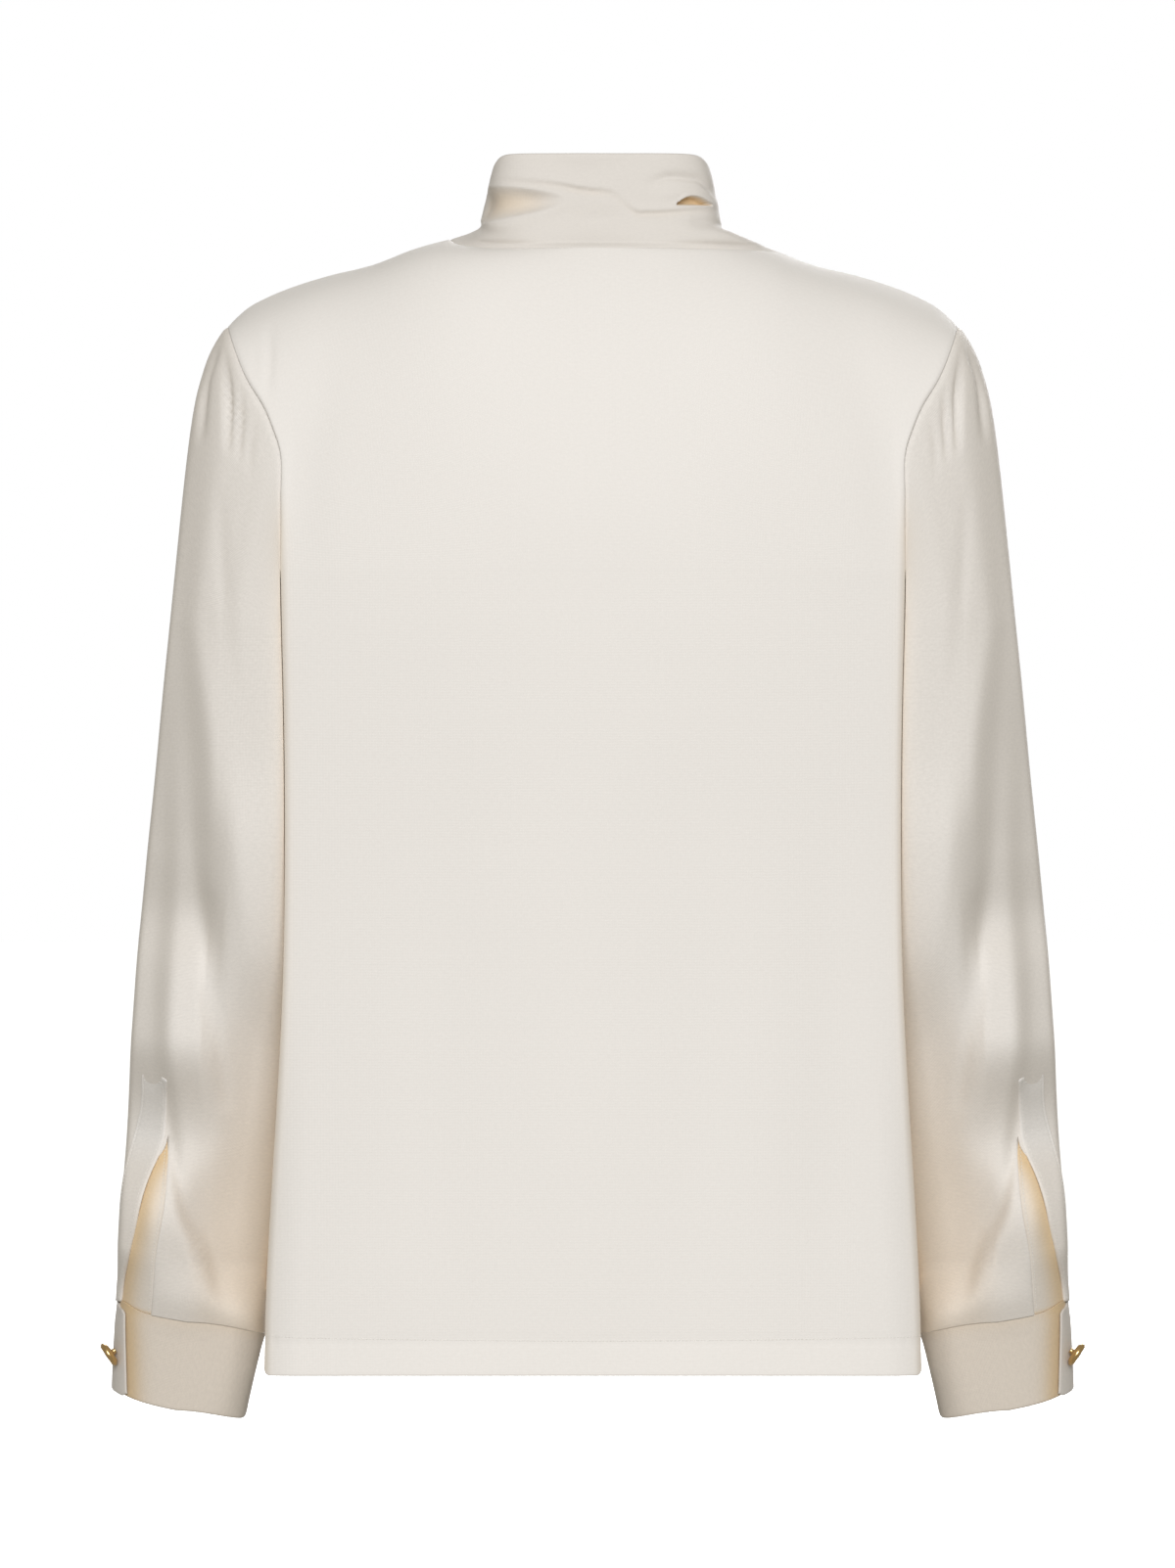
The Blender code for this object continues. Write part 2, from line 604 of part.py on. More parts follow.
def cuff_grid():
    """Rows from the cuff's top edge to its bottom edge."""
    angles = np.linspace(CUFF_START_ANGLE, CUFF_END_ANGLE, CUFF_COLUMNS + 1)
    return np.array([cuff_point(angles, share)
                     for share in np.linspace(0.0, 1.0, CUFF_HEIGHT_ROWS + 1)])


def make_button(name, side, collection):
    """Domed shank button, a turned profile that stands off the cuff's outer layer."""
    verts = [(r * MM, 0.0, z * MM) for r, z in BUTTON_PROFILE]
    edges = [(i, i + 1) for i in range(len(verts) - 1)]
    mesh = bpy.data.meshes.new(name)
    mesh.from_pydata(verts, edges, [])
    button = bpy.data.objects.new(name, mesh)
    collection.objects.link(button)
    turn = button.modifiers.new("turn", "SCREW")
    turn.steps = BUTTON_SEGMENTS
    turn.render_steps = BUTTON_SEGMENTS
    turn.use_merge_vertices = True
    turn.merge_threshold = 0.00001
    turn.use_smooth_shade = True
    around = np.array([360.0 + BUTTON_ANGLE])
    seat = cuff_point(around, BUTTON_SHARE)[0]
    reach = math.radians(BUTTON_TILT)
    facing = np.array([math.cos(reach), 0.10, -math.sin(reach)])
    centre = seat + np.array([BUTTON_STANDOFF, 0.0, 0.0])
    button.location = (SIDES[side] * centre[0] * MM, centre[1] * MM, centre[2] * MM)
    button.rotation_euler = axis_rotation((SIDES[side] * facing[0], facing[1], facing[2]))
    button.data.materials.append(finish(name, "gilt"))
    return button


def axis_rotation(direction):
    """Rotation that turns +Z onto a direction."""
    return Vector(direction).to_track_quat("Z", "Y").to_euler()


# ---------------------------------------------------------------- Blender objects

def finish(name, kind):
    """Principled material of one piece."""
    look = FINISHES[kind]
    material = bpy.data.materials.new(name + "_finish")
    material.use_nodes = True
    shader = material.node_tree.nodes["Principled BSDF"]
    shader.inputs["Base Color"].default_value = look["colour"]
    shader.inputs["Roughness"].default_value = look["roughness"]
    shader.inputs["Metallic"].default_value = look["metallic"]
    return material


def make_cloth(name, points, wall, collection, flip=False, closed=None, skip=None):
    """Cloth piece from a grid of points: closed rows join up, skipped faces are left open."""
    rows, columns = points.shape[:2]
    closed = closed or [False] * rows
    bm = bmesh.new()
    grid = []
    for r in range(rows):
        line = [bm.verts.new(points[r, c] * MM) for c in range(columns - closed[r])]
        if closed[r]:
            line.append(line[0])
        grid.append(line)
    for r in range(rows - 1):
        for c in range(columns - 1):
            if skip and skip(r, c):
                continue
            corners = [grid[r][c], grid[r][c + 1], grid[r + 1][c + 1], grid[r + 1][c]]
            bm.faces.new(corners[::-1] if flip else corners)
    mesh = bpy.data.meshes.new(name)
    bm.to_mesh(mesh)
    bm.free()
    mesh.shade_smooth()
    piece = bpy.data.objects.new(name, mesh)
    collection.objects.link(piece)
    thick = piece.modifiers.new("wall", "SOLIDIFY")
    thick.thickness = wall * MM
    thick.offset = -1.0
    thick.use_even_offset = True
    thick.use_quality_normals = True
    piece.data.materials.append(finish(name, "silk"))
    return piece


def make_front(collection):
    """Front panel: the strip between the doubled centre columns stops at the slit."""
    points = torso_panel("front", slit=True)
    centre = points.shape[1] // 2 - 1
    slit_bottom = PANELS["front"]["neck_z"] - FRONT_SLIT_LENGTH
    heights = points[:, centre, 2]

    def in_slit(r, c):
        return c == centre and heights[r] >= slit_bottom - 1e-6

    return make_cloth("front", points, BODY_WALL, collection, skip=in_slit)


def main():
    for old in list(bpy.data.objects):
        bpy.data.objects.remove(old, do_unlink=True)
    blouse = bpy.data.collections.new("silk_blouse")
    bpy.context.scene.collection.children.link(blouse)

    make_cloth("back", torso_panel("back", slit=False), BODY_WALL, blouse, flip=True)
    make_front(blouse)
    sleeve, closed = sleeve_grid()
    for side, sign in SIDES.items():
        mirror = np.array([sign, 1.0, 1.0])
        other = sign < 0
        make_cloth("collar_" + side, collar_half(side), COLLAR_WALL, blouse, flip=not other)
        make_cloth("sleeve_" + side, sleeve * mirror, SLEEVE_WALL, blouse,
                   flip=not other, closed=closed)
        make_cloth("placket_" + side, placket_grid() * mirror, LAP_WALL, blouse, flip=not other)
        make_cloth("underlap_" + side, underlap_grid() * mirror, LAP_WALL, blouse,
                   flip=not other)
        make_cloth("cuff_" + side, cuff_grid() * mirror, CUFF_WALL, blouse, flip=not other)
        make_button("button_" + side, side, blouse)


main()
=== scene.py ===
import math

import bpy
import numpy as np
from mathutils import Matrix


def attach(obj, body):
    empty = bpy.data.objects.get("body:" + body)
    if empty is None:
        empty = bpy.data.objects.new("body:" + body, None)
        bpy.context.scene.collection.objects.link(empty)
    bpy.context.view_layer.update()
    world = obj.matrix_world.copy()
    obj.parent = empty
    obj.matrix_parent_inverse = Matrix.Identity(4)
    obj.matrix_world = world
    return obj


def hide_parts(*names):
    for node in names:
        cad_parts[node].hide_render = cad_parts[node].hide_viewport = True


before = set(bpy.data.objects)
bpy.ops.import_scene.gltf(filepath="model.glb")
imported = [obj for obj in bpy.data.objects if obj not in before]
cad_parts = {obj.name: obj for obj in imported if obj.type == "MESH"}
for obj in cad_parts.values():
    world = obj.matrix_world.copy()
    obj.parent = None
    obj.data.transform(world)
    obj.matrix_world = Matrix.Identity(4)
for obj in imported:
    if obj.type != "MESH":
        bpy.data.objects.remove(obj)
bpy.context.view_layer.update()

mm = 0.001
sides = {"left": 1.0, "right": -1.0}


# Tables and curves

def tableOf(names, *rows):
    # a table with named columns; a row may leave out its last ones
    return [dict(zip(names.split(), row)) for row in rows]


def column(table, name):
    # one column of a table as an array
    return np.array([row[name] for row in table], dtype=float)


def along(table, key, name, at):
    # a cubic through a column's values, whose slope at each row is that of its neighbours
    keys = column(table, key)
    values = column(table, name)
    order = np.argsort(keys)
    keys = keys[order]
    values = values[order]
    slopes = np.gradient(values, keys)
    at = np.clip(np.asarray(at, dtype=float), keys[0], keys[-1])
    left = np.clip(np.searchsorted(keys, at, side="right") - 1, 0, len(keys) - 2)
    step = keys[left + 1] - keys[left]
    share = (at - keys[left]) / step
    square = share * share
    cube = square * share
    return ((2 * cube - 3 * square + 1) * values[left]
            + (cube - 2 * square + share) * step * slopes[left]
            + (3 * square - 2 * cube) * values[left + 1]
            + (cube - square) * step * slopes[left + 1])


def ease(value):
    # smooth step: 3t^2 - 2t^3 between 0 and 1
    value = np.clip(value, 0.0, 1.0)
    return value * value * (3.0 - 2.0 * value)


def hill(distance, width):
    # bell curve exp(-(d/w)^2)
    return np.exp(-(np.asarray(distance) / width) ** 2)


def curl(distance, radius):
    # how far a rounded edge has dropped at a distance from it: a quarter circle
    inside = np.clip(1.0 - distance / radius, 0.0, 1.0)
    return radius * (1.0 - np.sqrt(1.0 - inside ** 2))


def power(value, exponent):
    # signed power, which squares off a sine or cosine
    return np.sign(value) * np.abs(value) ** exponent


def stack(x, y, z):
    return np.stack(np.broadcast_arrays(x, y, z), axis=-1).astype(float)


def clustered(start, end, spacing, ends=(), endSpacing=0.6, endReach=5.0):
    # positions from start to end, a spacing apart, closer by the named ends
    length = abs(end - start)
    fine = np.linspace(0.0, length, max(int(length / 0.1), 50))
    gap = np.full(fine.shape, float(spacing))
    for name, distance in (("start", fine), ("end", length - fine)):
        if name in ends:
            gap = np.minimum(gap, endSpacing + (spacing - endSpacing) * ease(distance / endReach))
    count = running(np.diff(fine) * 2.0 / (gap[1:] + gap[:-1]))
    steps = np.linspace(0.0, count[-1], max(int(round(count[-1])), 2) + 1)
    return start + (end - start) * np.interp(steps, count, fine) / length


def unit(vectors):
    # each vector divided by its length
    return vectors / np.maximum(np.linalg.norm(vectors, axis=-1, keepdims=True), 1e-9)


def running(steps, axis=0):
    # running total of the steps along an axis, from 0
    return np.insert(np.cumsum(steps, axis=axis), 0, 0.0, axis=axis)


def gridNormals(points, flip=False):
    # cross product of the grid's two directions, at every point
    normal = unit(np.cross(np.gradient(points, axis=1), np.gradient(points, axis=0)))
    return -normal if flip else normal


def distanceTo(path, a, b):
    # distance of points (a, b) from a path drawn smoothly through its own points, the side of
    # it they lie on, and the share of its length at which each is nearest
    knots = np.linspace(0.0, 1.0, len(path))
    table = tableOf("k a b", *[(k, *point) for k, point in zip(knots, path)])
    fine = np.linspace(0.0, 1.0, 4 * (len(path) - 1) + 1)
    pa = along(table, "k", "a", fine)
    pb = along(table, "k", "b", fine)
    best = np.full(np.shape(a), 1e9)
    side = np.zeros(np.shape(a))
    where = np.zeros(np.shape(a))
    runs = np.hypot(np.diff(pa), np.diff(pb))
    total = runs.sum()
    before = 0.0
    for i, run in enumerate(runs):
        ua = (pa[i + 1] - pa[i]) / run
        ub = (pb[i + 1] - pb[i]) / run
        share = np.clip((a - pa[i]) * ua + (b - pb[i]) * ub, 0.0, run)
        da = a - pa[i] - share * ua
        db = b - pb[i] - share * ub
        distance = np.hypot(da, db)
        nearer = distance < best
        best = np.where(nearer, distance, best)
        side = np.where(nearer, np.sign(ua * db - ub * da), side)
        where = np.where(nearer, (before + share) / total, where)
        before += run
    return best, side, where


def foldSum(folds, a, b):
    # sum of soft creases: depth * sin taper along the path * bell across it, with a width of
    # its own on either side
    total = np.zeros(np.broadcast(a, b).shape)
    a = np.broadcast_to(a, total.shape)
    b = np.broadcast_to(b, total.shape)
    for fold in folds:
        distance, side, share = distanceTo(fold["path"], a, b)
        width = np.where(side > 0, fold["width"], fold.get("other", fold["width"]))
        taper = np.sin(math.pi * np.clip(0.08 + 0.84 * share, 0.0, 1.0)) ** fold.get("taper", 1.0)
        total += fold["depth"] * taper * hill(distance, width)
    return total


# Meshes

def gridObject(name, points, uv, joined=None, keep=None, flip=False, **marks):
    # the grid's points become vertices and its cells quads; a joined row's last column is
    # its first, and marks are numbers kept at each point for the material
    rows, columns = points.shape[:2]
    own = np.arange(rows * columns).reshape(rows, columns)
    ids = own.copy()
    if joined is not None:
        ids[joined, -1] = ids[joined, 0]

    def corners(grid):
        cells = np.stack([grid[:-1, :-1], grid[:-1, 1:], grid[1:, 1:], grid[1:, :-1]], axis=-1)
        cells = cells[keep] if keep is not None else cells.reshape(-1, 4)
        return cells[:, ::-1] if flip else cells

    used, faces = np.unique(corners(ids).ravel(), return_inverse=True)
    faces = faces.reshape(-1)
    mesh = bpy.data.meshes.new(name)
    mesh.vertices.add(len(used))
    mesh.vertices.foreach_set("co", (points.reshape(-1, 3)[used] * mm).ravel())
    mesh.loops.add(len(faces))
    mesh.loops.foreach_set("vertex_index", faces.astype(np.int32))
    mesh.polygons.add(len(faces) // 4)
    mesh.polygons.foreach_set("loop_start", np.arange(0, len(faces), 4, dtype=np.int32))
    mesh.polygons.foreach_set("use_smooth", np.ones(len(faces) // 4, dtype=bool))
    mesh.update(calc_edges=True)
    layer = mesh.uv_layers.new(name="cloth")
    layer.uv.foreach_set("vector", (uv.reshape(-1, 2)[corners(own).ravel()] * mm).ravel())
    for mark, values in marks.items():
        data = mesh.attributes.new(mark, "FLOAT", "POINT")
        values = np.broadcast_to(values, (rows, columns)).reshape(-1)[used]
        data.data.foreach_set("value", values.astype(np.float32))
    mesh.validate()
    piece = bpy.data.objects.new(name, mesh)
    bpy.context.scene.collection.objects.link(piece)
    return piece


def clothUv(points):
    # distances along the cloth: along the rows from the middle column, and down the columns
    columns = points.shape[1]
    stepAcross = np.linalg.norm(np.diff(points, axis=1), axis=-1)
    u = running(stepAcross, axis=1)
    u -= u[:, columns // 2][:, None]
    stepDown = np.linalg.norm(np.diff(points, axis=0), axis=-1).mean(axis=1)
    return np.stack([u, np.broadcast_to(running(stepDown)[:, None], u.shape)], axis=-1)


def place(piece, material, nodes=()):
    # rides on the one body and stands for its CAD nodes
    piece.data.materials.append(material)
    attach(piece, "root")
    if nodes:
        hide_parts(*nodes)


def clothPiece(name, points, material, wall, nodes, sign=1.0, **more):
    # a piece of silk whose thickness grows inward from its outer face; sign -1 mirrors it
    piece = gridObject(name, points * np.array([sign, 1.0, 1.0]), clothUv(points), **more)
    solidify = piece.modifiers.new("wall", "SOLIDIFY")
    solidify.thickness = wall * mm
    solidify.offset = -1.0
    solidify.use_even_offset = False
    solidify.use_quality_normals = True
    place(piece, material, nodes)


def lathe(profile, segments):
    # profile points (radius, height) turned about Z; the two poles are single points
    profile = np.array(profile, dtype=float)
    turn = np.linspace(0.0, 2.0 * math.pi, segments, endpoint=False)
    ring = profile[1:-1]
    verts = stack(ring[:, :1] * np.cos(turn), ring[:, :1] * np.sin(turn), ring[:, 1:2])
    verts = np.concatenate([[[0.0, 0.0, profile[0, 1]]], verts.reshape(-1, 3),
                            [[0.0, 0.0, profile[-1, 1]]]])
    grid = 1 + np.arange(len(ring) * segments).reshape(len(ring), segments)
    after = np.roll(grid, -1, axis=1)
    quads = np.stack([grid[:-1], grid[1:], after[1:], after[:-1]], axis=-1).reshape(-1, 4)
    last = len(verts) - 1
    top = np.stack([np.zeros(segments, int), grid[0], after[0]], axis=-1)
    bottom = np.stack([grid[-1], np.full(segments, last), after[-1]], axis=-1)
    return verts, quads.tolist() + top.tolist() + bottom.tolist()


def turned(points, centre, facing, sign):
    # turns +Z onto a direction and moves the points to a centre; sign mirrors along X
    z = unit(np.array(facing))
    x = unit(np.cross([0.0, 1.0, 0.0], z))
    return (points @ np.array([x, np.cross(z, x), z]) + centre) * np.array([sign, 1.0, 1.0])


def meshObject(name, verts, faces, flip=False):
    # verts in millimetres
    if flip:
        faces = [face[::-1] for face in faces]
    mesh = bpy.data.meshes.new(name)
    mesh.from_pydata((np.asarray(verts) * mm).tolist(), [], faces)
    mesh.shade_smooth()
    mesh.update()
    piece = bpy.data.objects.new(name, mesh)
    bpy.context.scene.collection.objects.link(piece)
    return piece


# Materials

def fillInputs(node, inputs):
    # each input takes a value or another node's output
    for name, value in inputs.items():
        if isinstance(value, bpy.types.NodeSocket):
            node.id_data.links.new(value, node.inputs[name])
        else:
            node.inputs[name].default_value = value


def addNode(tree, kind, output, inputs, **settings):
    # adds a node and gives the output that the next one takes
    node = tree.nodes.new("ShaderNode" + kind)
    for name, value in settings.items():
        setattr(node, name, value)
    fillInputs(node, inputs)
    return node.outputs[output]


def newMaterial(name):
    # a material, its node tree and its shader
    material = bpy.data.materials.new(name)
    material.use_nodes = True
    return material, material.node_tree, material.node_tree.nodes["Principled BSDF"]


def opaque(colour, share=1.0):
    # a share of a colour, with its alpha
    return tuple(share * c for c in colour) + (1.0,)


def mottledMaterial(name, colour, dark, scale, inputs, detail=2.0, roughs=None):
    # noise takes the colour down to a share of itself here and there; its roughness may
    # follow the same noise
    material, tree, shader = newMaterial(name)
    where = addNode(tree, "TexCoord", "Object", {})
    noise = addNode(tree, "TexNoise", "Fac", {"Vector": where, "Scale": scale, "Detail": detail})
    mix = {"Factor": noise, "A": opaque(colour, dark), "B": opaque(colour)}
    fillInputs(shader, {"Base Color": addNode(tree, "Mix", "Result", mix, data_type="RGBA")})
    if roughs:
        rough = {"Value": noise, "To Min": roughs[0], "To Max": roughs[1]}
        fillInputs(shader, {"Roughness": addNode(tree, "MapRange", "Result", rough)})
    fillInputs(shader, inputs)
    return material


silk = {
    "lit": (0.80, 0.766, 0.722),      # the open surface
    "deep": (0.80, 0.60, 0.36),       # painted shade colour, for where light only comes from cloth to cloth
    "weave": 0.00085,                 # metres from thread to thread
    "weaveBump": 0.18,
    "weaveHeight": 0.0004,            # metres
    "waver": 1.6,                     # how unevenly the threads run
    "slub": 0.05,                     # longer irregular threads
    "slubScale": (380.0, 620.0, 1.0),
    "slubShare": 0.45,                # of the slubs in the bump
    "cloud": 0.015,                   # how far the colour wanders
    "cloudScale": 9.0,
    "doubledLift": 0.035,             # a doubled layer is this much lighter
    "rough": 0.62,
    "roughSpread": 0.06,
    "sheen": 0.18,
    "sheenRough": 0.35,
    "specular": 0.28,
}

# Painted shade: how far each part is led to the deep tint, an amber painted shade, from 0 to 1; reach
# is in millimetres
paintedShadeAmounts = {
    "back": 0.34,               # beside the sleeves
    "backReach": 2.2,
    "collar": 0.07,             # all over
    "collarHollow": 0.38,
    "collarTuck": 0.06,
    "collarMouth": 1.4,         # clipped to 1 in the pocket's middle
    "sleeve": 0.04,             # all over
    "sleeveAway": 0.12,         # where it turns away from behind
    "sleeveBeside": 0.22,       # beside the body
    "sleeveBesideLow": 0.10,    # and more towards the wrist
    "sleeveBroad": 0.12,        # a broad patch at the wrist
    "placket": 0.10,
    "underlap": 0.14,           # all over
    "underlapEdge": 0.80,       # under the placket's free edge
    "underlapReach": 8.5,
    "underlapTop": 0.40,
    "underlapCuff": 0.80,
    "cuff": 0.29,               # all over
    "cuffUnder": 0.64,          # in the layer beneath the cuff's end
    "cuffReach": 10.5,
    "cuffTop": 0.12,
    "cuffEnd": 0.10,
}


def silkMaterial(name, turn=0.0, shade=1.0, slubs=1.0):
    # two crossing sets of threads on the cloth's own UV map, slubs along the weft, and a slow wandering
    # of colour; the painted-shade mark leads to the deep tint, painted shade in hollows, gaps and
    # turned-away parts, and shade below 1 dims the whole colour, painted shade for a dimmer copy of the
    # same silk
    material, tree, shader = newMaterial(name)

    def noise(vector, scale, detail, rough=0.5):
        return addNode(tree, "TexNoise", "Fac", {"Vector": vector, "Scale": scale,
                                                 "Detail": detail, "Roughness": rough})

    def follow(value, middle, spread):
        # runs from below the middle to above it as the value goes from 0 to 1
        return addNode(tree, "MapRange", "Result", {"Value": value, "To Min": middle - spread,
                                                    "To Max": middle + spread})

    def product(a, b):
        return addNode(tree, "Math", "Value", {0: a, 1: b}, operation="MULTIPLY")

    cloth = addNode(tree, "UVMap", "UV", {}, uv_map="cloth")
    aim = addNode(tree, "Mapping", "Vector", {"Vector": cloth,
                                              "Rotation": (0.0, 0.0, math.radians(turn))})
    wave = {"Vector": aim, "Scale": math.pi / (10.0 * silk["weave"]),
            "Distortion": silk["waver"], "Detail": 1.0, "Detail Scale": 0.4}
    warp, weft = [addNode(tree, "TexWave", "Fac", wave, wave_type="BANDS", bands_direction=way)
                  for way in "XY"]
    cross = addNode(tree, "Math", "Value", {0: warp, 1: weft}, operation="ADD")
    stretched = addNode(tree, "Mapping", "Vector", {"Vector": aim, "Scale": silk["slubScale"]})
    slub = noise(stretched, 1.0, 3.0, 0.7)
    height = addNode(tree, "Mix", "Result", {"Factor": silk["slubShare"], "A": cross, "B": slub},
                     data_type="FLOAT")
    bump = addNode(tree, "Bump", "Normal", {"Strength": silk["weaveBump"], "Height": height,
                                            "Distance": silk["weaveHeight"]})

    warm = addNode(tree, "Attribute", "Fac", {}, attribute_name="warm")
    doubled = addNode(tree, "Attribute", "Fac", {}, attribute_name="doubled")
    lift = addNode(tree, "MapRange", "Result", {"Value": doubled, "To Min": 1.0,
                                                "To Max": 1.0 + silk["doubledLift"]})
    cloud = noise(aim, silk["cloudScale"], 4.0)
    wandering = addNode(tree, "MapRange", "Result", {
        "Value": cloud, "To Min": shade * (1.0 - silk["cloud"]),
        "To Max": shade * (1.0 + silk["cloud"])})
    light = product(product(wandering, lift), follow(slub, 1.0, silk["slub"] * slubs))
    tint = addNode(tree, "Mix", "Result", {"Factor": warm, "A": opaque(silk["lit"]),
                                           "B": opaque(silk["deep"])}, data_type="RGBA")
    colour = addNode(tree, "VectorMath", "Vector", {0: tint, "Scale": light}, operation="SCALE")
    fillInputs(shader, {
        "Base Color": colour, "Normal": bump,
        "Roughness": follow(slub, silk["rough"], silk["roughSpread"]),
        "Sheen Weight": silk["sheen"], "Sheen Roughness": silk["sheenRough"],
        "Specular IOR Level": silk["specular"]})
    return material


silkBody = silkMaterial("silkBody")
# the sleeves, collar and cuffs are copies of the same silk with painted shade: shade dims their colour
silkSleeve = silkMaterial("silkSleeve", shade=0.95, slubs=2.2)
silkCollar = silkMaterial("silkCollar", shade=0.875)
silkCuff = silkMaterial("silkCuff", turn=90.0, shade=0.78, slubs=2.2)


# Torso: below the underarm a row is part of a superellipse; above it the points swing on arcs
# up to the neckline and the shoulder seam

torso = {
    "underarmZ": -185.0,
    "shoulderX": 206.5,
    "shoulderZ": -43.5,
    "columnSpread": 0.83,       # below 1 the columns crowd towards the side
    "neckSlope": 65.0,          # degrees of arc from the underarm level to the neck
    "neckSpread": 0.75,         # the neck's fullness spreads this far towards the side
    "neckSpreadEnd": 9.0,
    "evenReach": 0.11,          # the neck point's peak is evened out this far across
    "spacing": 2.9,             # of the grid
    "lowSpacing": 3.6,          # of its rows below the underarm
    "gridWide": 206.0,          # nominal width of a half, and height above the underarm
    "gridHigh": 215.0,
    "wall": 0.5,
    "clear": 0.15,              # between the back and the front
    "seamRoll": 0.45,           # how far the cloth turns in at a seam
    "seamReach": 1.6,
    "seamFrom": 112.0,          # the shoulder seam starts this far out
    "calmSide": 25.0,           # creases die out over this much beside an edge
    "calmTop": 12.0,
    "calmHem": 30.0,
    "pucker": 0.16,             # ripple along the hem's stitches
    "hemDepth": 19.0,           # turned-up hem
    "hemDitch": 0.35,           # the stitch line lies this deep
    "hemCorner": 3.2,           # the hem rounds up at the sides
    "shoulderBend": 2.4,        # above 2 the back rolls over late to the shoulder
    "underarmRound": 0.012,     # share of the armhole's height in which the back comes in
    "frontFull": 0.9,           # below 1 the front's armhole is fuller than a half circle
    "sideRoll": 2.1,            # how far the back rolls down at its side edges
    "sideReach": 3.8,
    "lowRoll": 4.5,             # and more broadly towards the hem
    "lowReach": 20.0,
    "slitLength": 185.0,
    "slitWidth": 2.0,
}

torsoSections = tableOf("z half back front",
    (-639, 183.5, 103, 112),
    (-591, 182.4, 102, 112),
    (-536, 179.6, 101, 112),
    (-480, 176.2, 100.5, 112.5),
    (-425, 173.3, 100.5, 113.5),
    (-341, 171.8, 102.6, 116),
    (-258, 172.4, 106.2, 118.5),
    (-215, 173.4, 107.7, 118.1),
    (-185, 174, 108, 118))

armholeEdge = tableOf("z x",
    (-185, 174), (-145, 174.3), (-114, 175.8), (-105, 179), (-92, 184.5), (-78, 193), (-54, 203),
    (-43.5, 206.5))

shoulderLine = tableOf("x z",
    (75, 7.5), (102, -0.1), (122, -8), (151, -15), (173, -21.9), (183, -26), (197, -34),
    (206.5, -43.5))

# fall is the share of the depth lost from the centre to the side, corner how tightly the section
# turns in to its side edge and root how round, fade how fast the armhole's pull dies away, and
# merge how closely the section keeps its own shape up to the armhole
panels = {
    "back": dict(facing=1.0, depth="back", armhole=80.6, neckY=62.0, neckZ=-3.0, hemLift=8.0,
                 fall=0.24, corner=8000.0, root=2.0, fade=3.0, merge=0.0),
    "front": dict(facing=-1.0, depth="front", armhole=62.0, neckY=86.0, neckZ=-68.0, hemLift=7.0,
                  fall=0.0, corner=2.4, root=2.4, fade=3.0, merge=4.0),
}
neckHalf = {"left": 80.0, "right": 108.0}

# Creases of the back and the front: points (x, z) as they lie
backFolds = tableOf("width depth path",
    (2.6, -1.3, [(189.7, -56), (189.2, -70), (188.4, -84)]),
    (2.4, -1.6, [(181.5, -46), (181.5, -72), (183.2, -95)]),
    (14, -1.2, [(-150, -60), (-163, -120), (-166, -190)]),
    (14, -1.4, [(150, -70), (161, -130), (165, -200)]),
    (26, -1.6, [(-40, -250), (-60, -420), (-52, -600)]),
    (24, -1.4, [(70, -300), (86, -460), (80, -620)]),
    (22, 1.2, [(10, -320), (14, -480), (6, -620)]),
    (20, -1.2, [(-128, -330), (-132, -480), (-126, -620)]))
frontFolds = tableOf("width depth path",
    (9, -3, [(150, -70), (140, -130), (120, -190)]),
    (9, -2.6, [(-148, -66), (-136, -128), (-118, -184)]),
    (17, -3, [(60, -210), (84, -400), (78, -600)]),
    (16, -3.4, [(-66, -240), (-86, -420), (-92, -610)]),
    (15, 2.4, [(20, -300), (8, -450), (14, -620)]),
    (14, -2.4, [(132, -260), (134, -430), (128, -620)]),
    (13, -2, [(-136, -300), (-138, -460), (-134, -620)]),
    (7, -1.6, [(52, -72), (40, -110), (22, -136)]),
    (7, -1.8, [(-58, -66), (-46, -108), (-26, -132)]))


def quarter(rise, bend):
    # a quarter of a superellipse: 1 at the bottom and 0 at the top
    return (1.0 - rise.clip(0.0, 1.0) ** bend).clip(0.0) ** (1.0 / bend)


def armhole(angle, panel):
    # the armhole's edge: angle 0 is the underarm and pi the shoulder tip; behind it keeps to
    # the panel's depth almost down to the underarm
    rise = (1.0 - np.cos(angle)) / 2.0
    z = torso["underarmZ"] + (torso["shoulderZ"] - torso["underarmZ"]) * rise
    if panel["facing"] > 0:
        low = (1.0 - rise / torso["underarmRound"]).clip(0.0) ** 3
        y = quarter(rise, torso["shoulderBend"]) * (1.0 - low)
    else:
        y = np.abs(np.sin(angle)) ** torso["frontFull"]
    return stack(along(armholeEdge, "z", "x", z), panel["armhole"] * y, z)


def sideRoll(z):
    # how far the back rolls down at its side edge: not at the upper armhole
    return torso["sideRoll"] * ease((-105.0 - z) / 45.0)


def sideEdge(z):
    # how far out the panel's side edge lies at a height
    return np.where(z < torso["underarmZ"], along(torsoSections, "z", "half", z),
                    along(armholeEdge, "z", "x", z))


def neckline(side, turn):
    # neck seam: turn 0 is the centre back, pi/2 the neck point and pi the centre front
    turn = np.asarray(turn, dtype=float)
    behind = turn <= math.pi / 2 + 1e-9
    back = panels["back"]
    front = panels["front"]
    sideZ = float(along(shoulderLine, "x", "z", neckHalf[side]))
    y = np.where(behind, back["neckY"], front["neckY"]) * np.cos(turn)
    zBack = back["neckZ"] + (sideZ - back["neckZ"]) * (1.0 - np.cos(turn)) ** 2
    zFront = front["neckZ"] + (sideZ - front["neckZ"]) * np.sin(turn) ** 2
    return stack(sides[side] * neckHalf[side] * np.sin(turn), y, np.where(behind, zBack, zFront))


def sideShare(across):
    # how far across the section a column lies, from the centre, 0, to the side, 1
    return power(np.sin(across * math.pi / 2), torso["columnSpread"])


def turnedIn(panel, across):
    # how much of its depth a column loses where the section turns in to its side edge
    return 1.0 - (1.0 - sideShare(across) ** panel["corner"]).clip(0.0) ** (1.0 / panel["root"])


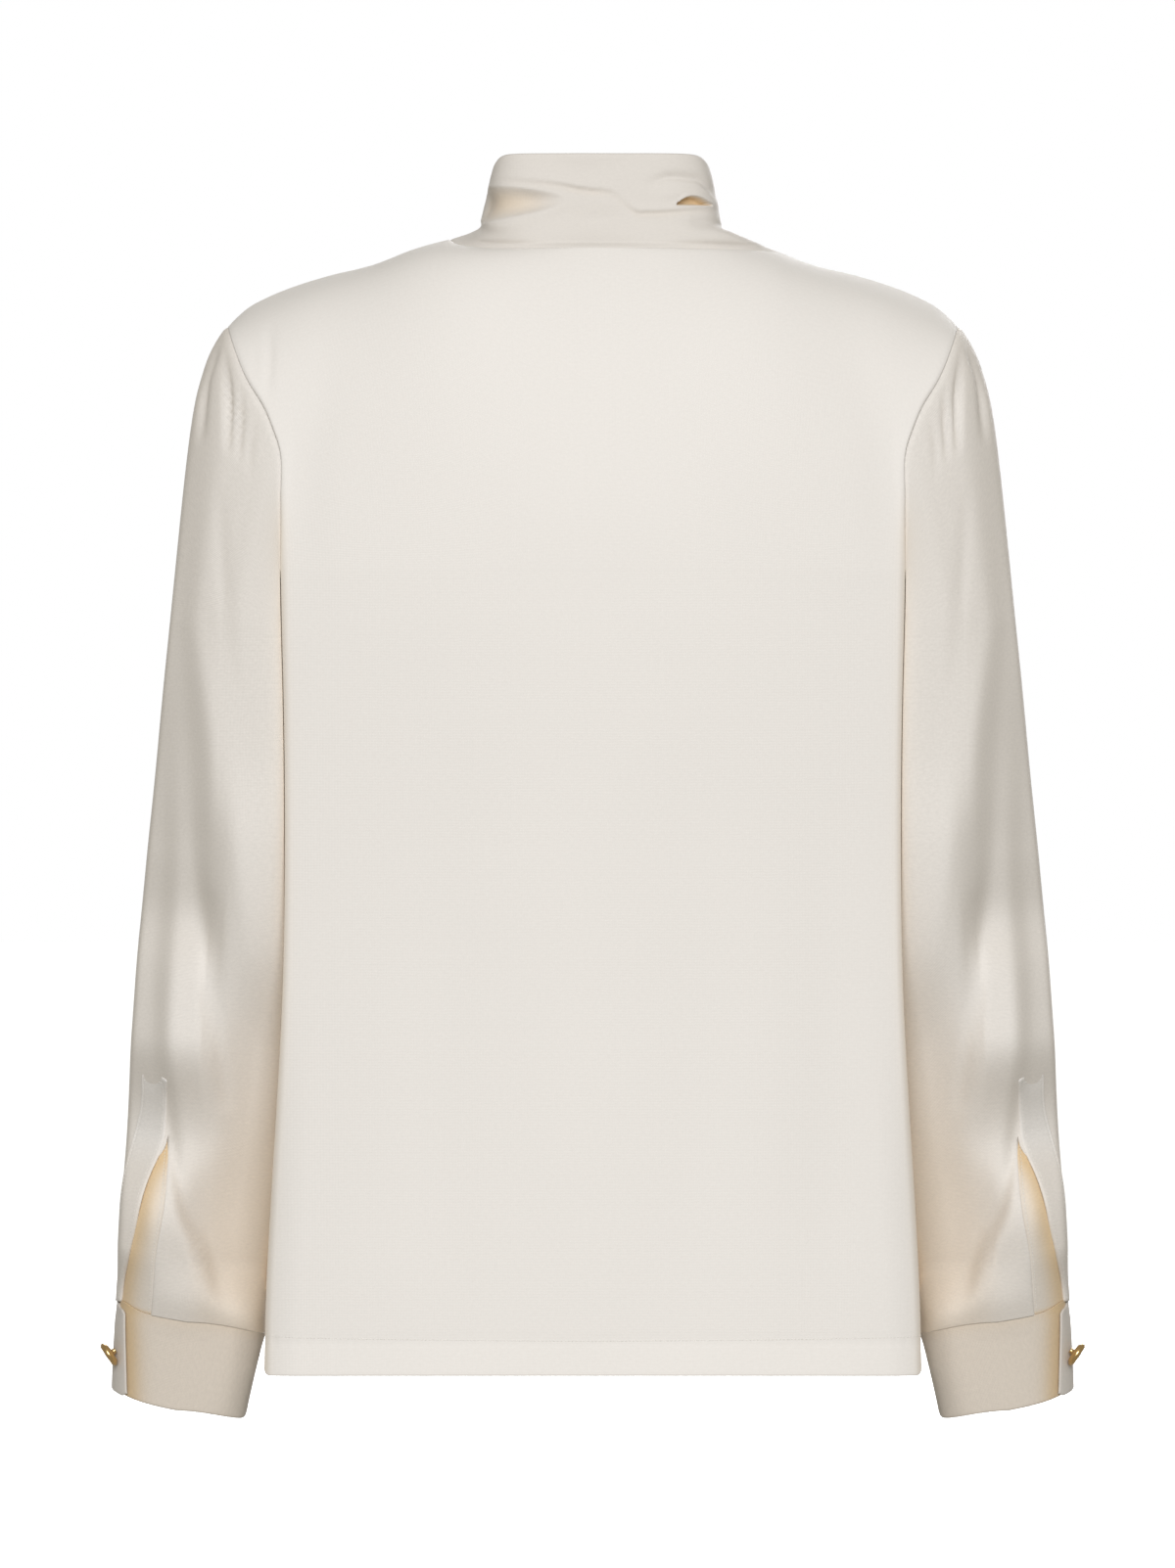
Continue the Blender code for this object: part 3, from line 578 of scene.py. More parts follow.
def torsoRows(panel, across, z):
    # rows below the underarm, before their sides turn in: depth * (1 - fall * share^2)
    side = sideShare(across)[None, :]
    half = along(torsoSections, "z", "half", z)[:, None]
    depth = along(torsoSections, "z", panel["depth"], z)[:, None]
    share = 1.0 - panel["fall"] * side ** 2
    drop = (torso["underarmZ"] - z) / (torso["underarmZ"] - torsoSections[0]["z"])
    lift = panel["hemLift"] * drop[:, None] * share * (1.0 - turnedIn(panel, across))
    return stack(half * side, depth * share, z[:, None] + lift)


def topRow(panel, side, across):
    # neck seam, then shoulder seam, evenly across
    x = torso["shoulderX"] * across
    half = neckHalf[side]
    turn = np.arcsin(np.clip(x / half, 0.0, 1.0))
    if panel["facing"] < 0:
        turn = math.pi - turn
    neck = neckline(side, turn)
    inside = x < half
    return stack(x, np.where(inside, np.abs(neck[:, 1]), 0.0),
                 np.where(inside, neck[:, 2], along(shoulderLine, "x", "z", x)))


def torsoHalf(panel, side, across, lowZ, shares):
    # a half panel's outer face, rows from the hem to the top, columns from the centre out
    low = torsoRows(panel, across, lowZ)
    base = low[-1].copy()
    top = topRow(panel, side, across)
    neckShare = neckHalf[side] / torso["shoulderX"]
    slope = torso["neckSlope"]
    arc = np.radians(slope + (90.0 - slope) * ease(across / neckShare))
    soft = panel["neckY"] * (1.0 - ease(across / torso["neckSpread"]))
    near = np.exp(-((across[:, None] - across) / torso["evenReach"]) ** 2) * np.gradient(across)
    even = near @ top[:, 2] / near.sum(axis=1)
    share = shares[:, None]
    late = share ** torso["neckSpreadEnd"]
    rise = np.sin(arc * share) / np.sin(arc)
    fall = (np.cos(arc * share) - np.cos(arc)) / (1.0 - np.cos(arc))
    if panel["facing"] > 0:
        fall += ease(across / neckShare) * (quarter(rise, torso["shoulderBend"]) - fall)
    reach = soft + (top[:, 1] - soft) * late
    high = stack(base[:, 0] + (top[:, 0] - base[:, 0]) * rise,
                 reach + (base[:, 1] - reach) * fall,
                 base[:, 2] + (even - base[:, 2]) * rise + (top[:, 2] - even) * late)
    edge = armhole(np.arccos(1.0 - 2.0 * np.sin(shares * math.pi / 2)), panel)
    pull = (edge - high[:, -1])[:, None, :]
    turn = turnedIn(panel, across)
    high[..., [0, 2]] += (across ** panel["fade"])[None, :, None] * pull[..., [0, 2]]
    if panel["merge"]:
        # the greater of the turned-in section and the armhole's depth, smoothly
        depth = (high[..., 1] - turn * high[:, -1:, 1]).clip(0.0)
        rim = edge[:, 1:2] * sideShare(across) ** 3
        high[..., 1] = (depth ** panel["merge"] + rim ** panel["merge"]) ** (1 / panel["merge"])
    else:
        high[..., 1] += turn * pull[..., 1]
    low[..., 1] -= turn * low[:, -1:, 1]
    points = np.concatenate([low, high])
    points[:, :, 1] = panel["facing"] * (points[:, :, 1] + torso["clear"])
    points[:, :, 0] *= sides[side]
    return points


# The hem's own profile, from the cloth's turned-up edge to its fold
hemProfile = tableOf("up inward",
    (19, 1.15), (15, 1.15), (11, 1.15), (7, 1.15), (4, 1.15), (2, 1.15), (0.8, 1.1), (0.2, 0.9),
    (0, 0.5), (0.2, 0.1))
hemRows = len(hemProfile)


def panelCloth(name, folds, slit=False):
    # a whole panel: its face, creases, seams rolled in at the sides and shoulders, and the
    # hem turned up inside
    panel = panels[name]
    wide = torso["gridWide"]
    high = torso["gridHigh"]
    across = clustered(0.0, wide, torso["spacing"], ("end",), 0.7, 8.0) / wide
    low = clustered(torsoSections[0]["z"], torso["underarmZ"], torso["lowSpacing"],
                    ("start",), 1.0, 26.0)
    shares = clustered(0.0, high, torso["spacing"], ("start", "end"), 0.6, 8.0)[1:] / high
    left = torsoHalf(panel, "left", across, low, shares)
    right = torsoHalf(panel, "right", across, low, shares)
    if slit:
        left[:, 0, 0] = torso["slitWidth"] / 2
        right[:, 0, 0] = -torso["slitWidth"] / 2
    first = 0 if slit else 1        # without a slit the halves share their centre column
    points = np.concatenate([right[:, first:][:, ::-1], left], axis=1)
    fromCentre = np.concatenate([across[first:][::-1], across])
    normals = gridNormals(points, panel["facing"] > 0)

    # creases, which die out towards the edges
    x = points[:, :, 0]
    up = points[:, :, 2] - points[0:1, :, 2]
    sideGap = (1.0 - fromCentre)[None, :] * wide
    topGap = np.concatenate([np.full(len(low), 400.0), high * (1.0 - shares)])[:, None]
    calm = (ease(sideGap / torso["calmSide"]) * ease(topGap / torso["calmTop"])
            * ease((up + 8.0) / torso["calmHem"]))
    move = calm * foldSum(folds, x, points[:, :, 2])

    # the hem's stitch line: sin of x with a wandering phase; then the seams
    fromStitch = up - torso["hemDepth"]
    pucker = torso["pucker"] * np.sin(x / 1.15 + 2.0 * np.sin(x / 9.0)) * hill(fromStitch, 2.2)
    move += pucker - torso["hemDitch"] * hill(fromStitch, 0.9)
    move -= torso["seamRoll"] * hill(sideGap, torso["seamReach"])
    move -= (torso["seamRoll"] * hill(topGap, torso["seamReach"])
             * (np.abs(x) > torso["seamFrom"]))
    outer = points + normals * move[..., None]
    edge = sideEdge(points[..., 2]) - np.abs(x)
    outer[..., 2] += curl(edge, torso["hemCorner"]) * ease(1.0 - up / torso["hemDepth"])
    if panel["facing"] > 0:
        roll = sideRoll(outer[..., 2])
        outer[..., 1] -= (1.0 - edge / torso["sideReach"]).clip(0.0) ** 2 * roll
        broad = torso["lowRoll"] * ease((-400.0 - outer[..., 2]) / 150.0)
        outer[..., 1] -= (1.0 - edge / torso["lowReach"]).clip(0.0, 1.0) ** 2 * broad

    # the turned-up hem lies inward of the outer face at the same heights
    level = np.interp(column(hemProfile, "up"), up[:, 0], np.arange(len(up)))
    row = level.astype(int)
    part = (level - row)[:, None, None]
    turnUp = outer[row] * (1.0 - part) + outer[row + 1] * part
    turnUp -= normals[row] * column(hemProfile, "inward")[:, None, None]
    return np.concatenate([turnUp, outer[1:]])


def hemDoubled(points):
    # 1 on the turned-up band and 0 above it
    up = points[..., 2] - points[hemRows - 1:hemRows, :, 2]
    return ease(torso["hemDepth"] - up)


backPoints = panelCloth("back", backFolds)
# painted shade: an amber tint on the back close to its side edges beside the sleeves, below the armhole
backEdge = sideEdge(backPoints[..., 2]) - np.abs(backPoints[..., 0])
backPaintedShade = paintedShadeAmounts["back"] * np.exp(-backEdge.clip(0.0) / paintedShadeAmounts["backReach"])
backPaintedShade *= ease((-130.0 - backPoints[..., 2]) / 40.0)
clothPiece("backPanel", backPoints, silkBody, torso["wall"], ["back"], flip=True,
           doubled=hemDoubled(backPoints), warm=backPaintedShade)

frontPoints = panelCloth("front", frontFolds, slit=True)
slitCells = np.ones((frontPoints.shape[0] - 1, frontPoints.shape[1] - 1), dtype=bool)
centreColumn = frontPoints.shape[1] // 2 - 1
slitBottom = panels["front"]["neckZ"] - torso["slitLength"]
slitCells[:, centreColumn] = frontPoints[:-1, centreColumn, 2] < slitBottom
clothPiece("frontPanel", frontPoints, silkBody, torso["wall"], ["front"], keep=slitCells,
           doubled=hemDoubled(frontPoints))
print("torso panels")


# Collar: turn 0 is the centre back and pi the centre front on either side, share runs up it

collar = {
    "topBack": 51.3,
    "topSide": 44.0,
    "topFront": -12.0,
    "corner": 22.0,             # how tightly the top edge rounds at the sides
    "squareness": 4.4,          # of the section above the base; 2 is an ellipse
    "height": 57.0,
    "columns": 330,
    "rows": 78,
    "frontGap": 2.0,
    "wall": 1.3,
    "bandHeight": 2.6,          # the seam's ridge above the neckline
    "bandLift": 0.7,
    "bandGroove": 0.35,         # and the groove above it
    "backSeam": 0.5,            # depth of the centre-back seam
    "sway": 0.35,               # of the top edge, in and out
    "edgeIn": 0.7,              # the top edge rounds in
    "lipUp": 2.1,               # the lip's middle lies this far above the slump line
    "lipWide": 2.2,
    "tuckDown": 1.5,            # and the tuck's this far below it
    "tuckWide": 1.9,
}

collarWidths = {
    "left": tableOf("share half",
        (0, 80), (0.04, 75.8), (0.092, 70.6), (0.155, 65), (0.3, 63.4), (0.6, 60.6),
        (0.85, 58.3), (1, 56.6)),
    "right": tableOf("share half",
        (0, 108), (0.08, 98.5), (0.19, 84), (0.27, 74.2), (0.36, 72.6), (0.5, 71.4), (0.68, 70),
        (0.88, 68), (1, 66.6)),
}
collarDepths = tableOf("share back front",
    (0, 62, 86), (0.12, 57, 82), (0.3, 54, 79), (0.6, 52, 75), (1, 50, 72))

# The slump: the cloth above this line hangs over the cloth below it.  lip is how far the upper
# edge stands out, fall how far it droops and tuck how deep the cloth goes in under it
slump = tableOf("x z lip fall tuck",
    (-74, 22, 0.1, 0.1, 0.1),
    (-62, 20.5, 0.3, 0.2, 0.5),
    (-45, 18.6, 0.7, 0.6, 0.9),
    (-32, 18, 0.8, 0.7, 1),
    (-23, 18.8, 0.7, 0.6, 0.8),
    (-18, 23, 0.3, 0.3, 0.4),
    (-12, 28.2, 0.6, 0.5, 0.6),
    (-3, 30, 0.8, 0.6, 1.2),
    (6, 31.2, 0.8, 0.5, 1.3),
    (18, 33.4, 0.6, 0.3, 0.7),
    (39, 35.6, 0.4, 0.1, 0.4),
    (54, 36.8, 0.1, 0, 0.1),
    (64, 37, 0, 0, 0))
# Softer forms of the collar's back, on (x, z)
collarFolds = tableOf("width depth path other",
    (3.6, 0.9, [(56, 9.5), (42, 13), (26, 17), (12, 24)]),
    (1.7, -2.4, [(-33, 33.5), (-42, 36.8), (-51.5, 36.8), (-61, 35.2), (-69.5, 28)], 3.2),
    (3.6, 0.9, [(-36, 26.5), (-46, 29), (-56, 29.5)]),
    (5.5, -1.5, [(12, 12.8), (-1.4, 12.2), (-16, 13.6)]),
    (5, -1.6, [(-54, 14), (-64, 11), (-70, 8)]),
    (4, 0.7, [(-20, 8), (-48, 10.5), (-70, 15)]),
    (7, -0.7, [(30, 46), (4, 42), (-26, 45)]))
# Its hidden sides and front, on (degrees round from the centre back, hundredths of its height)
collarSideFolds = tableOf("width depth path",
    (7, -2.4, [(100, 34), (120, 40), (144, 34)]),
    (6, -2, [(96, 58), (126, 62), (156, 52)]),
    (5, -1.6, [(120, 16), (146, 20), (166, 14)]),
    (7, -2.4, [(-100, 34), (-120, 30), (-150, 42)]),
    (6, -2, [(-100, 60), (-130, 56), (-158, 66)]),
    (5, -1.5, [(-122, 14), (-144, 18), (-164, 12)]))
hollow = {                      # a long hollow that opens from a rounded tip to the left side
    "tip": 15.5,
    "length": 47.0,
    "z": 24.3,
    "high": 11.0,               # half its height at the far end
    "deep": 5.4,
    "dip": 1.3,                 # its middle line drops this far along its length
}
mouth = {                       # the little open pocket at the right of the slump
    "x": -57.5,
    "z": 22.3,
    "half": 10.5,               # half its length
    "high": 4.2,                # height of its upper lip
    "deep": 6.5,
    "lean": 0.16,               # its arch is higher towards the centre by this share
    "brow": 0.7,                # the cloth above it stands out
}


def collarSide(side, turn, share):
    # one side's wall before its creases, share down the rows and turn along the columns
    turn = turn[None, :]
    behind = turn <= math.pi / 2 + 1e-9
    seam = neckline(side, turn)
    half = along(collarWidths[side], "share", "half", share)[:, None]
    back = along(collarDepths, "share", "back", share)[:, None]
    front = along(collarDepths, "share", "front", share)[:, None]
    bend = 2.0 / (2.0 + (collar["squareness"] - 2.0) * ease(share[:, None] / 0.25))
    across = np.abs(np.sin(turn)) ** bend
    corner = across ** collar["corner"]
    topBack = collar["topBack"] + (collar["topSide"] - collar["topBack"]) * corner
    topFront = collar["topFront"] + (collar["topSide"] - collar["topFront"]) * np.sin(turn) ** 2
    height = np.where(behind, topBack, topFront) - seam[..., 2]
    z = seam[..., 2] + height * share[:, None]
    return stack(sides[side] * half * across,
                 np.where(behind, back, front) * power(np.cos(turn), bend), z - 0.5)


def collarCloth():
    # the whole collar from centre front round the back to centre front
    high = collar["height"]
    share = clustered(0.0, 1.0, 1.0 / collar["rows"], ("start",), 0.4 / high, 6.0 / high)
    part = np.linspace(0.0, 1.0, collar["columns"] // 2)
    turn = math.pi * (0.62 * part + 0.38 * part ** 2.2)     # closer behind than in front
    left = collarSide("left", turn, share)
    right = collarSide("right", turn, share)
    left[:, -1, 0] = collar["frontGap"] / 2
    right[:, -1, 0] = -collar["frontGap"] / 2
    points = np.concatenate([right[:, :0:-1], left], axis=1)
    angle = np.degrees(np.concatenate([-turn[:0:-1], turn]))[None, :]
    x, y, z = points[..., 0], points[..., 1], points[..., 2]
    reach = np.hypot(x, y)
    outX, outY = x / reach, y / reach
    behind = ease((y + 8.0) / 34.0)
    rising = ease(share / 0.16)[:, None]

    # bells just above and just below the slump line: the lip stands out and the tuck goes in
    line = along(slump, "x", "z", x)
    lip, fall, tuck = [along(slump, "x", name, x) for name in ("lip", "fall", "tuck")]
    above = hill(z - line - collar["lipUp"], collar["lipWide"])
    below = hill(z - line + collar["tuckDown"], collar["tuckWide"])
    out = behind * (lip * above - tuck * below)
    drop = -behind * fall * above
    out += behind * foldSum(collarFolds, x, z)
    out += (1.0 - behind) * foldSum(collarSideFolds, np.broadcast_to(angle, x.shape),
                                    np.broadcast_to(share[:, None] * 100.0, x.shape))

    # the hollow: half height * square root of the way from its tip, bowl-shaped across
    way = ((x - hollow["tip"]) / hollow["length"]).clip(0.0, 1.3)
    height = (z - hollow["z"] + hollow["dip"] * way) / (hollow["high"] * way ** 0.5 + 0.01)
    bowl = (1.0 - height ** 2).clip(0.0) ** np.where(height > 0.0, 1.3, 1.1)
    bowl *= behind * ease((y - 4.0) / 16.0)
    out -= hollow["deep"] * bowl * ease((way + 0.05) / 0.6)

    # the pocket: an arch over a nearly straight lower lip
    at = np.clip((x - mouth["x"]) / mouth["half"], -1.0, 1.0)
    arch = mouth["high"] * (1.0 - at ** 2) * (1.0 + mouth["lean"] * at)
    up = (z - mouth["z"]) / np.maximum(arch, 0.05)
    inside = ease((up + 0.12) / 0.3) * ease((1.12 - up) / 0.3) * ease(arch / 0.8)
    inside *= behind * (np.abs(at) < 1.0)
    out -= mouth["deep"] * inside
    out += behind * mouth["brow"] * hill(z - mouth["z"] - arch - 1.2, 1.2) * ease(arch / 1.5)

    # the neck seam's ridge, the centre-back seam, a swaying top and its rounded edge
    rowUp = z - z[0:1]
    ridge = hill(rowUp - 0.35 * collar["bandHeight"], 0.5 * collar["bandHeight"])
    groove = hill(rowUp - collar["bandHeight"] - 0.9, 0.8)
    ridgeMove = collar["bandLift"] * ridge - collar["bandGroove"] * groove
    backSeam = hill(x - 0.8 * (z - 12.0) / 40.0 + 0.3, 0.8) * ease((y - 20.0) / 10.0)
    out = out * rising + ridgeMove - collar["backSeam"] * backSeam
    sway = collar["sway"] * np.sin(x / 7.0 + 1.0) * ease((share - 0.75) / 0.25)[:, None]
    edge = -collar["edgeIn"] * hill((1.0 - share[:, None]) * high, 0.8)
    out = out + sway + edge
    moved = stack(x + out * outX, y + out * outY, z + drop)
    # painted shade: an amber tint in the hollow, under the tuck, in the pocket and faintly all over
    warm = paintedShadeAmounts["collarHollow"] * bowl * ease(way / 0.8) + paintedShadeAmounts["collarTuck"] * below * tuck
    warm = np.clip(paintedShadeAmounts["collar"] + paintedShadeAmounts["collarMouth"] * inside + behind * warm, 0.0, 1.0)
    seamLines = hill(rowUp - 1.2, 0.45) + 0.8 * hill(rowUp - 3.9, 0.45)
    return moved, warm, seamLines.clip(0.0, 1.0)


collarPoints, collarPaintedShade, collarSeamLines = collarCloth()
clothPiece("collarStand", collarPoints, silkCollar, collar["wall"],
           ["collar_left", "collar_right"], flip=True, warm=collarPaintedShade, doubled=collarSeamLines)
print("collar")


# Sleeve: angles run from the outer side, 0, through the back, 90, and the body side, 180

sleeve = {
    "top": -213.0,              # where the cap ends
    "end": -605.7,              # where the cuff begins
    "squareness": 2.2,
    "square": 3.6,              # the same of the quarter behind its body side
    "seamAngle": 5 * 180.0 / 14,
    "clear": 0.45,              # between its cap and the armhole's edge
    "beside": 0.12,             # how far it hangs clear of the body's side
    "away": 3.9,                # and how much further by the cuff
    "capSwell": 0.12,           # how early the cap swells out, and how far it goes at once
    "capSwellTop": 0.49,
    "capSwellUnder": 0.15,
    "wall": 0.5,
    "columns": 150,
    "perDegree": 0.8,           # millimetres round the wrist
    "sag": 3.4,                 # of the cuff's top seam behind
    "slitTop": -505.0,
    "slitLift": 1.5,            # its front edge rides this far above its back edge
    "liftFrom": 300.0,          # degrees between which it rises
    "liftTo": 350.0,
    "edgeBackset": 12.0,        # degrees that it stops short of the placket's edge
    "backsetRun": 40.0,
    "seamRoll": 0.6,
    "seamTuck": 1.2,            # the cap's edge runs in under the panels'
    "outerCorner": 50.0,        # how tightly its back closes at the outer side and by the body
    "innerCorner": 800.0,
    "nearDip": 4.0,             # the cloth dips this far beside the body
    "nearReach": 4.6,
    "nearX": 176.0,             # where the sections of its back start
    "softTurns": (2.2, 1.9, 1.6, 1.6, 1.6),     # millimetres over which they turn
    "lean": 9.0,                # the outer side lies this far forward of the ring's middle
}

sleeveRings = tableOf("z outer y ry shear tilt",
    (-213, 239.5, -12, 73, 0.12, 0),
    (-258, 244.4, -14, 72, 0.12, 0.5),
    (-302, 248.9, -17, 70, 0.12, 1),
    (-347, 253.9, -20.5, 66.5, 0.12, 2),
    (-391, 258.4, -24.5, 62.5, 0.12, 3),
    (-436, 261.5, -29, 58, 0.11, 4),
    (-480, 264.5, -32, 55, 0.1, 5),
    (-524, 267, -35, 51, 0.08, 6),
    (-569, 268.8, -38, 46, 0.05, 7),
    (-592, 269.6, -39.5, 40, 0.02, 7.4),
    (-605.7, 270.5, -40, 31.5, 0, 7.5))
slitBack = tableOf("z angle",
    (-213, sleeve["seamAngle"]), (-320, sleeve["seamAngle"] + 2), (-450, 65.4), (-490, 65.6),
    (-520, 67), (-536, 67.6), (-548, 67), (-561, 64.6), (-573, 62), (-606, 58.5))
placket = tableOf("z edge width",
    (-470, 64.8, 25.8), (-495, 65, 28.5), (-505, 64.5, 33), (-517, 60.5, 36), (-528, 54.5, 36.5),
    (-546, 46.5, 36), (-565, 38.5, 35), (-580, 30.5, 34), (-596, 20.5, 32), (-606, 16, 30))

# Sections of the sleeve's back.  Going out from the body side, the cloth starts at the depth
# near and lies in six stretches that turn at x1 to x5; t0 to t5 are their tilts in degrees,
# below zero where a stretch faces the outer side
sleeveBack = tableOf("z near t0 x1 t1 x2 t2 x3 t3 x4 t4 x5 t5",
    (-213, 79.5, -22, 201, -36, 223, -60, 232, -54, 240, -54, 248, -54),
    (-284, 77, -18, 203, -22, 214, -61, 226, -51, 235, -56, 244, -52),
    (-340, 73, -5, 200.5, -48, 212.5, -62, 223.5, -41, 234, -58, 242.5, -49),
    (-395, 57, 2, 194, -24, 208.5, -62, 218, -24, 237, -61, 246, -46),
    (-450, 21.2, 12, 192, 26, 207, 40, 217, -6, 238.5, -60, 247, -46),
    (-505, -3.3, 14, 196, 24, 207, 18, 214, -6, 234, -43, 243, -40),
    (-546, -23.5, 22, 204, 30, 213, 34, 225, 56, 234, 4, 250, -44),
    (-576, -36.5, 30, 202, 40, 206, 44, 213.5, 60, 222.5, 4, 250, -36),
    (-606, -44, 32, 196, 44, 200, 48, 206, 60, 214.5, 4, 250, -36))

# Creases of the sleeve's back, on (x, z) as they lie
sleeveFolds = tableOf("width depth path other taper",
    (4.6, -4.2, [(215, -368), (215, -398), (213.5, -440), (208, -482)]),
    (4, -1.1, [(209, -140), (206.3, -187), (201.5, -250)]),
    (2.6, -2.6, [(240, -478), (239.4, -498), (236, -520), (233, -537), (229, -550), (220, -566),
     (213, -590)], 5, 0.6))
capFolds = tableOf("width depth path other",
    (2.3, -3.2, [(208.5, -50), (213.5, -62), (218.8, -77), (220.2, -108)], 2.8),
    (1.9, -3.8, [(206.6, -60), (204.6, -80), (204, -116)]),
    (1.6, -2.8, [(195.4, -76), (197.2, -96), (197.9, -120)]),
    (1.8, -0.9, [(188, -96), (191, -110), (192, -130)]))
# The sleeve's front and body side, on (degrees, z)
sleeveFrontFolds = tableOf("width depth path",
    (10, -4, [(250, -300), (275, -345), (300, -380)]),
    (9, -3.2, [(222, -350), (246, -384), (270, -415)]),
    (11, -3, [(282, -200), (294, -270), (300, -340)]),
    (10, -3.4, [(300, -420), (318, -490), (326, -560)]),
    (8, -3, [(258, -470), (270, -530), (276, -590)]),
    (5, -1.6, [(284, -90), (288, -120), (292, -160)]))


def sleeveRing(values, angles, out):
    # superellipse between the ring's extremes; its front leans in round the body
    middle = (values["outer"] + values["inner"]) / 2
    rx = (values["outer"] - values["inner"]) / 2
    turn = np.radians(angles)
    behind = (np.cos(turn) < 0.0) & (np.sin(turn) > 0.0)
    bend = 2.0 / np.where(behind, sleeve["square"], sleeve["squareness"])
    across = power(np.sin(turn), bend) * values["ry"]
    normal = unit(stack(np.cos(turn) / rx, np.sin(turn) / values["ry"], 0.0))
    lean = values.get("shear", 0.0) * across * (across < 0.0) * ease(-np.cos(turn) / 0.5)
    flat = stack(middle + rx * power(np.cos(turn), bend) + lean, values["y"] + across, 0.0)
    return flat + normal * np.asarray(out)[..., None]


def backShare(z):
    # the sections shape the sleeve from below its cap to above the cuff
    return ease((-90.0 - z) / 100.0) * ease((z + 605.0) / 34.0)


def bent(x, turnX, soft):
    # integral of a soft step: 0 before the turn and x - turnX after it
    return soft * np.logaddexp(0.0, (x - turnX) / soft)


def backDepth(x, z):
    # depth of the sleeve's back at (x, z): stretches of even tilt with soft turns between them
    row = {name: along(sleeveBack, "z", name, z) for name in sleeveBack[0] if name != "z"}
    slope = [np.tan(np.radians(row["t" + k])) for k in "012345"]
    depth = row["near"] + slope[0] * (x - sleeve["nearX"])
    for k, soft in enumerate(sleeve["softTurns"], start=1):
        depth = depth + (slope[k] - slope[k - 1]) * bent(x, row["x" + str(k)], soft)
    return depth


def backed(points, values, angles, z):
    # lays the back half of a ring on its section, closed round at both ends
    turn = np.radians(angles)
    x, y = points[..., 0], points[..., 1]
    middle = (values["outer"] + values["inner"]) / 2
    u = np.clip((x - middle) / (values["outer"] - middle), -1.0, 1.0)
    edge = np.where(u > 0.0, sleeve["outerCorner"], sleeve["innerCorner"])
    corner = (1.0 - np.abs(u) ** edge).clip(0.0) ** 0.5
    low = values["y"] - sleeve["lean"] * u
    dip = sleeve["nearDip"] * np.exp(-(x - values["inner"]) / sleeve["nearReach"])
    target = low + (backDepth(x, z) - dip - low) * corner
    share = backShare(z) * ease(np.sin(turn) / 0.08)
    points[..., 1] = y + (target - y) * share
    return points


def comeOver(angles):
    # 0 beneath and 1 where the front edge has come over the back edge
    return ease((angles - sleeve["liftFrom"]) / (sleeve["liftTo"] - sleeve["liftFrom"]))


def slitLift(angles, z):
    # how far the front edge rides above the back edge below the slit's top
    down = ease((sleeve["slitTop"] - z) / (sleeve["slitTop"] + 606.0))
    return sleeve["slitLift"] * down * comeOver(angles)


def tubeCreases(angles, z, points):
    # creases of the tube below the cap, dying out before the cuff
    turn = np.mod(angles, 360.0)
    behind = ease((np.sin(np.radians(turn)) + 0.25) / 0.5)
    settle = ease((z + 606.0) / 10.0)
    back = foldSum(sleeveFolds, points[..., 0], points[..., 2])
    front = foldSum(sleeveFrontFolds, turn, z)
    return settle * (behind * back - (1.0 - behind) * front)


def cuffSag(angles):
    # the cuff's top seam hangs lower behind than at the outer side
    turn = np.mod(angles, 360.0)
    return sleeve["sag"] * ease((turn - 22.0) / 34.0) * ease((225.0 - turn) / 45.0)


def tubeBase(angles, z, creased):
    # the wall's face without anything laid on it; z has the shape of angles
    values = {name: along(sleeveRings, "z", name, z) for name in sleeveRings[0] if name != "z"}
    body = along(torsoSections, "z", "half", z - values["tilt"])
    values["inner"] = body + sleeve["beside"] + sleeve["away"] * ease((-500.0 - z) / 105.0)
    points = sleeveRing(values, angles, 0.0)
    outward = np.cos(np.radians(angles))
    points[..., 1] -= sleeve["lean"] * backShare(z) * outward
    points = backed(points, values, angles, z)
    points[..., 2] = z + values["tilt"] * outward
    points[..., 2] -= cuffSag(angles) * ease((-560.0 - z) / 45.0)
    if creased:
        points[..., 1] += tubeCreases(angles, z, points)
    return points


def tubePoints(angles, z, out=0.0, creased=True):
    # sleeve wall below the cap; angles[row, column], a height for each row, and how far the
    # cloth lies outside the wall
    z = np.broadcast_to(np.asarray(z, dtype=float)[:, None], angles.shape)
    points = tubeBase(angles, z, creased)
    tangent = tubeBase(angles + 0.4, z, creased) - tubeBase(angles - 0.4, z, creased)
    normal = unit(stack(tangent[..., 1], -tangent[..., 0], 0.0))
    return points + normal * (slitLift(angles, z) + out)[..., None]


def capPoints(angles, shares):
    # sleeve cap from the armhole, share 0, to the tube's first ring, share 1
    turn = np.radians(angles)
    behind = np.sin(turn) >= 0.0
    seamBack = armhole(math.pi - turn, panels["back"])
    seamBack[:, 1] -= 0.9 * sideRoll(seamBack[:, 2])        # it follows the back's rolled edge
    seamFront = armhole(math.pi - turn, panels["front"])
    seamFront[..., 1] *= -1.0
    seam = np.where(behind[:, None], seamBack, seamFront)
    seam[:, 0] += sleeve["clear"]
    first = tubePoints(angles[None, :], np.array([sleeve["top"]]), creased=False)[0]
    top = sleeve["capSwellTop"]
    under = sleeve["capSwellUnder"]
    swell = under + (top - under) * (1.0 + np.cos(turn)) / 2.0
    share = shares[:, None]
    early = sleeve["capSwell"]
    quick = (1.0 - np.exp(-share / early)) / (1.0 - math.exp(-1.0 / early))
    gain = swell * quick + (1.0 - swell) * share
    points = seam + (first - seam) * gain[..., None]
    points[..., 2] = seam[:, 2] + (first[:, 2] - seam[:, 2]) * share
    return points


def slitBackAngle(z):
    return along(slitBack, "z", "angle", z)


def placketEdge(z):
    return along(placket, "z", "edge", z)


def panelEdge(z):
    # the sleeve's own front edge along the slit
    down = sleeve["slitTop"] - z
    backset = sleeve["edgeBackset"] * ease(down / sleeve["backsetRun"])
    opened = ease(down / sleeve["backsetRun"] * 2.0)
    return slitBackAngle(z) + (placketEdge(z) - slitBackAngle(z)) * opened - backset


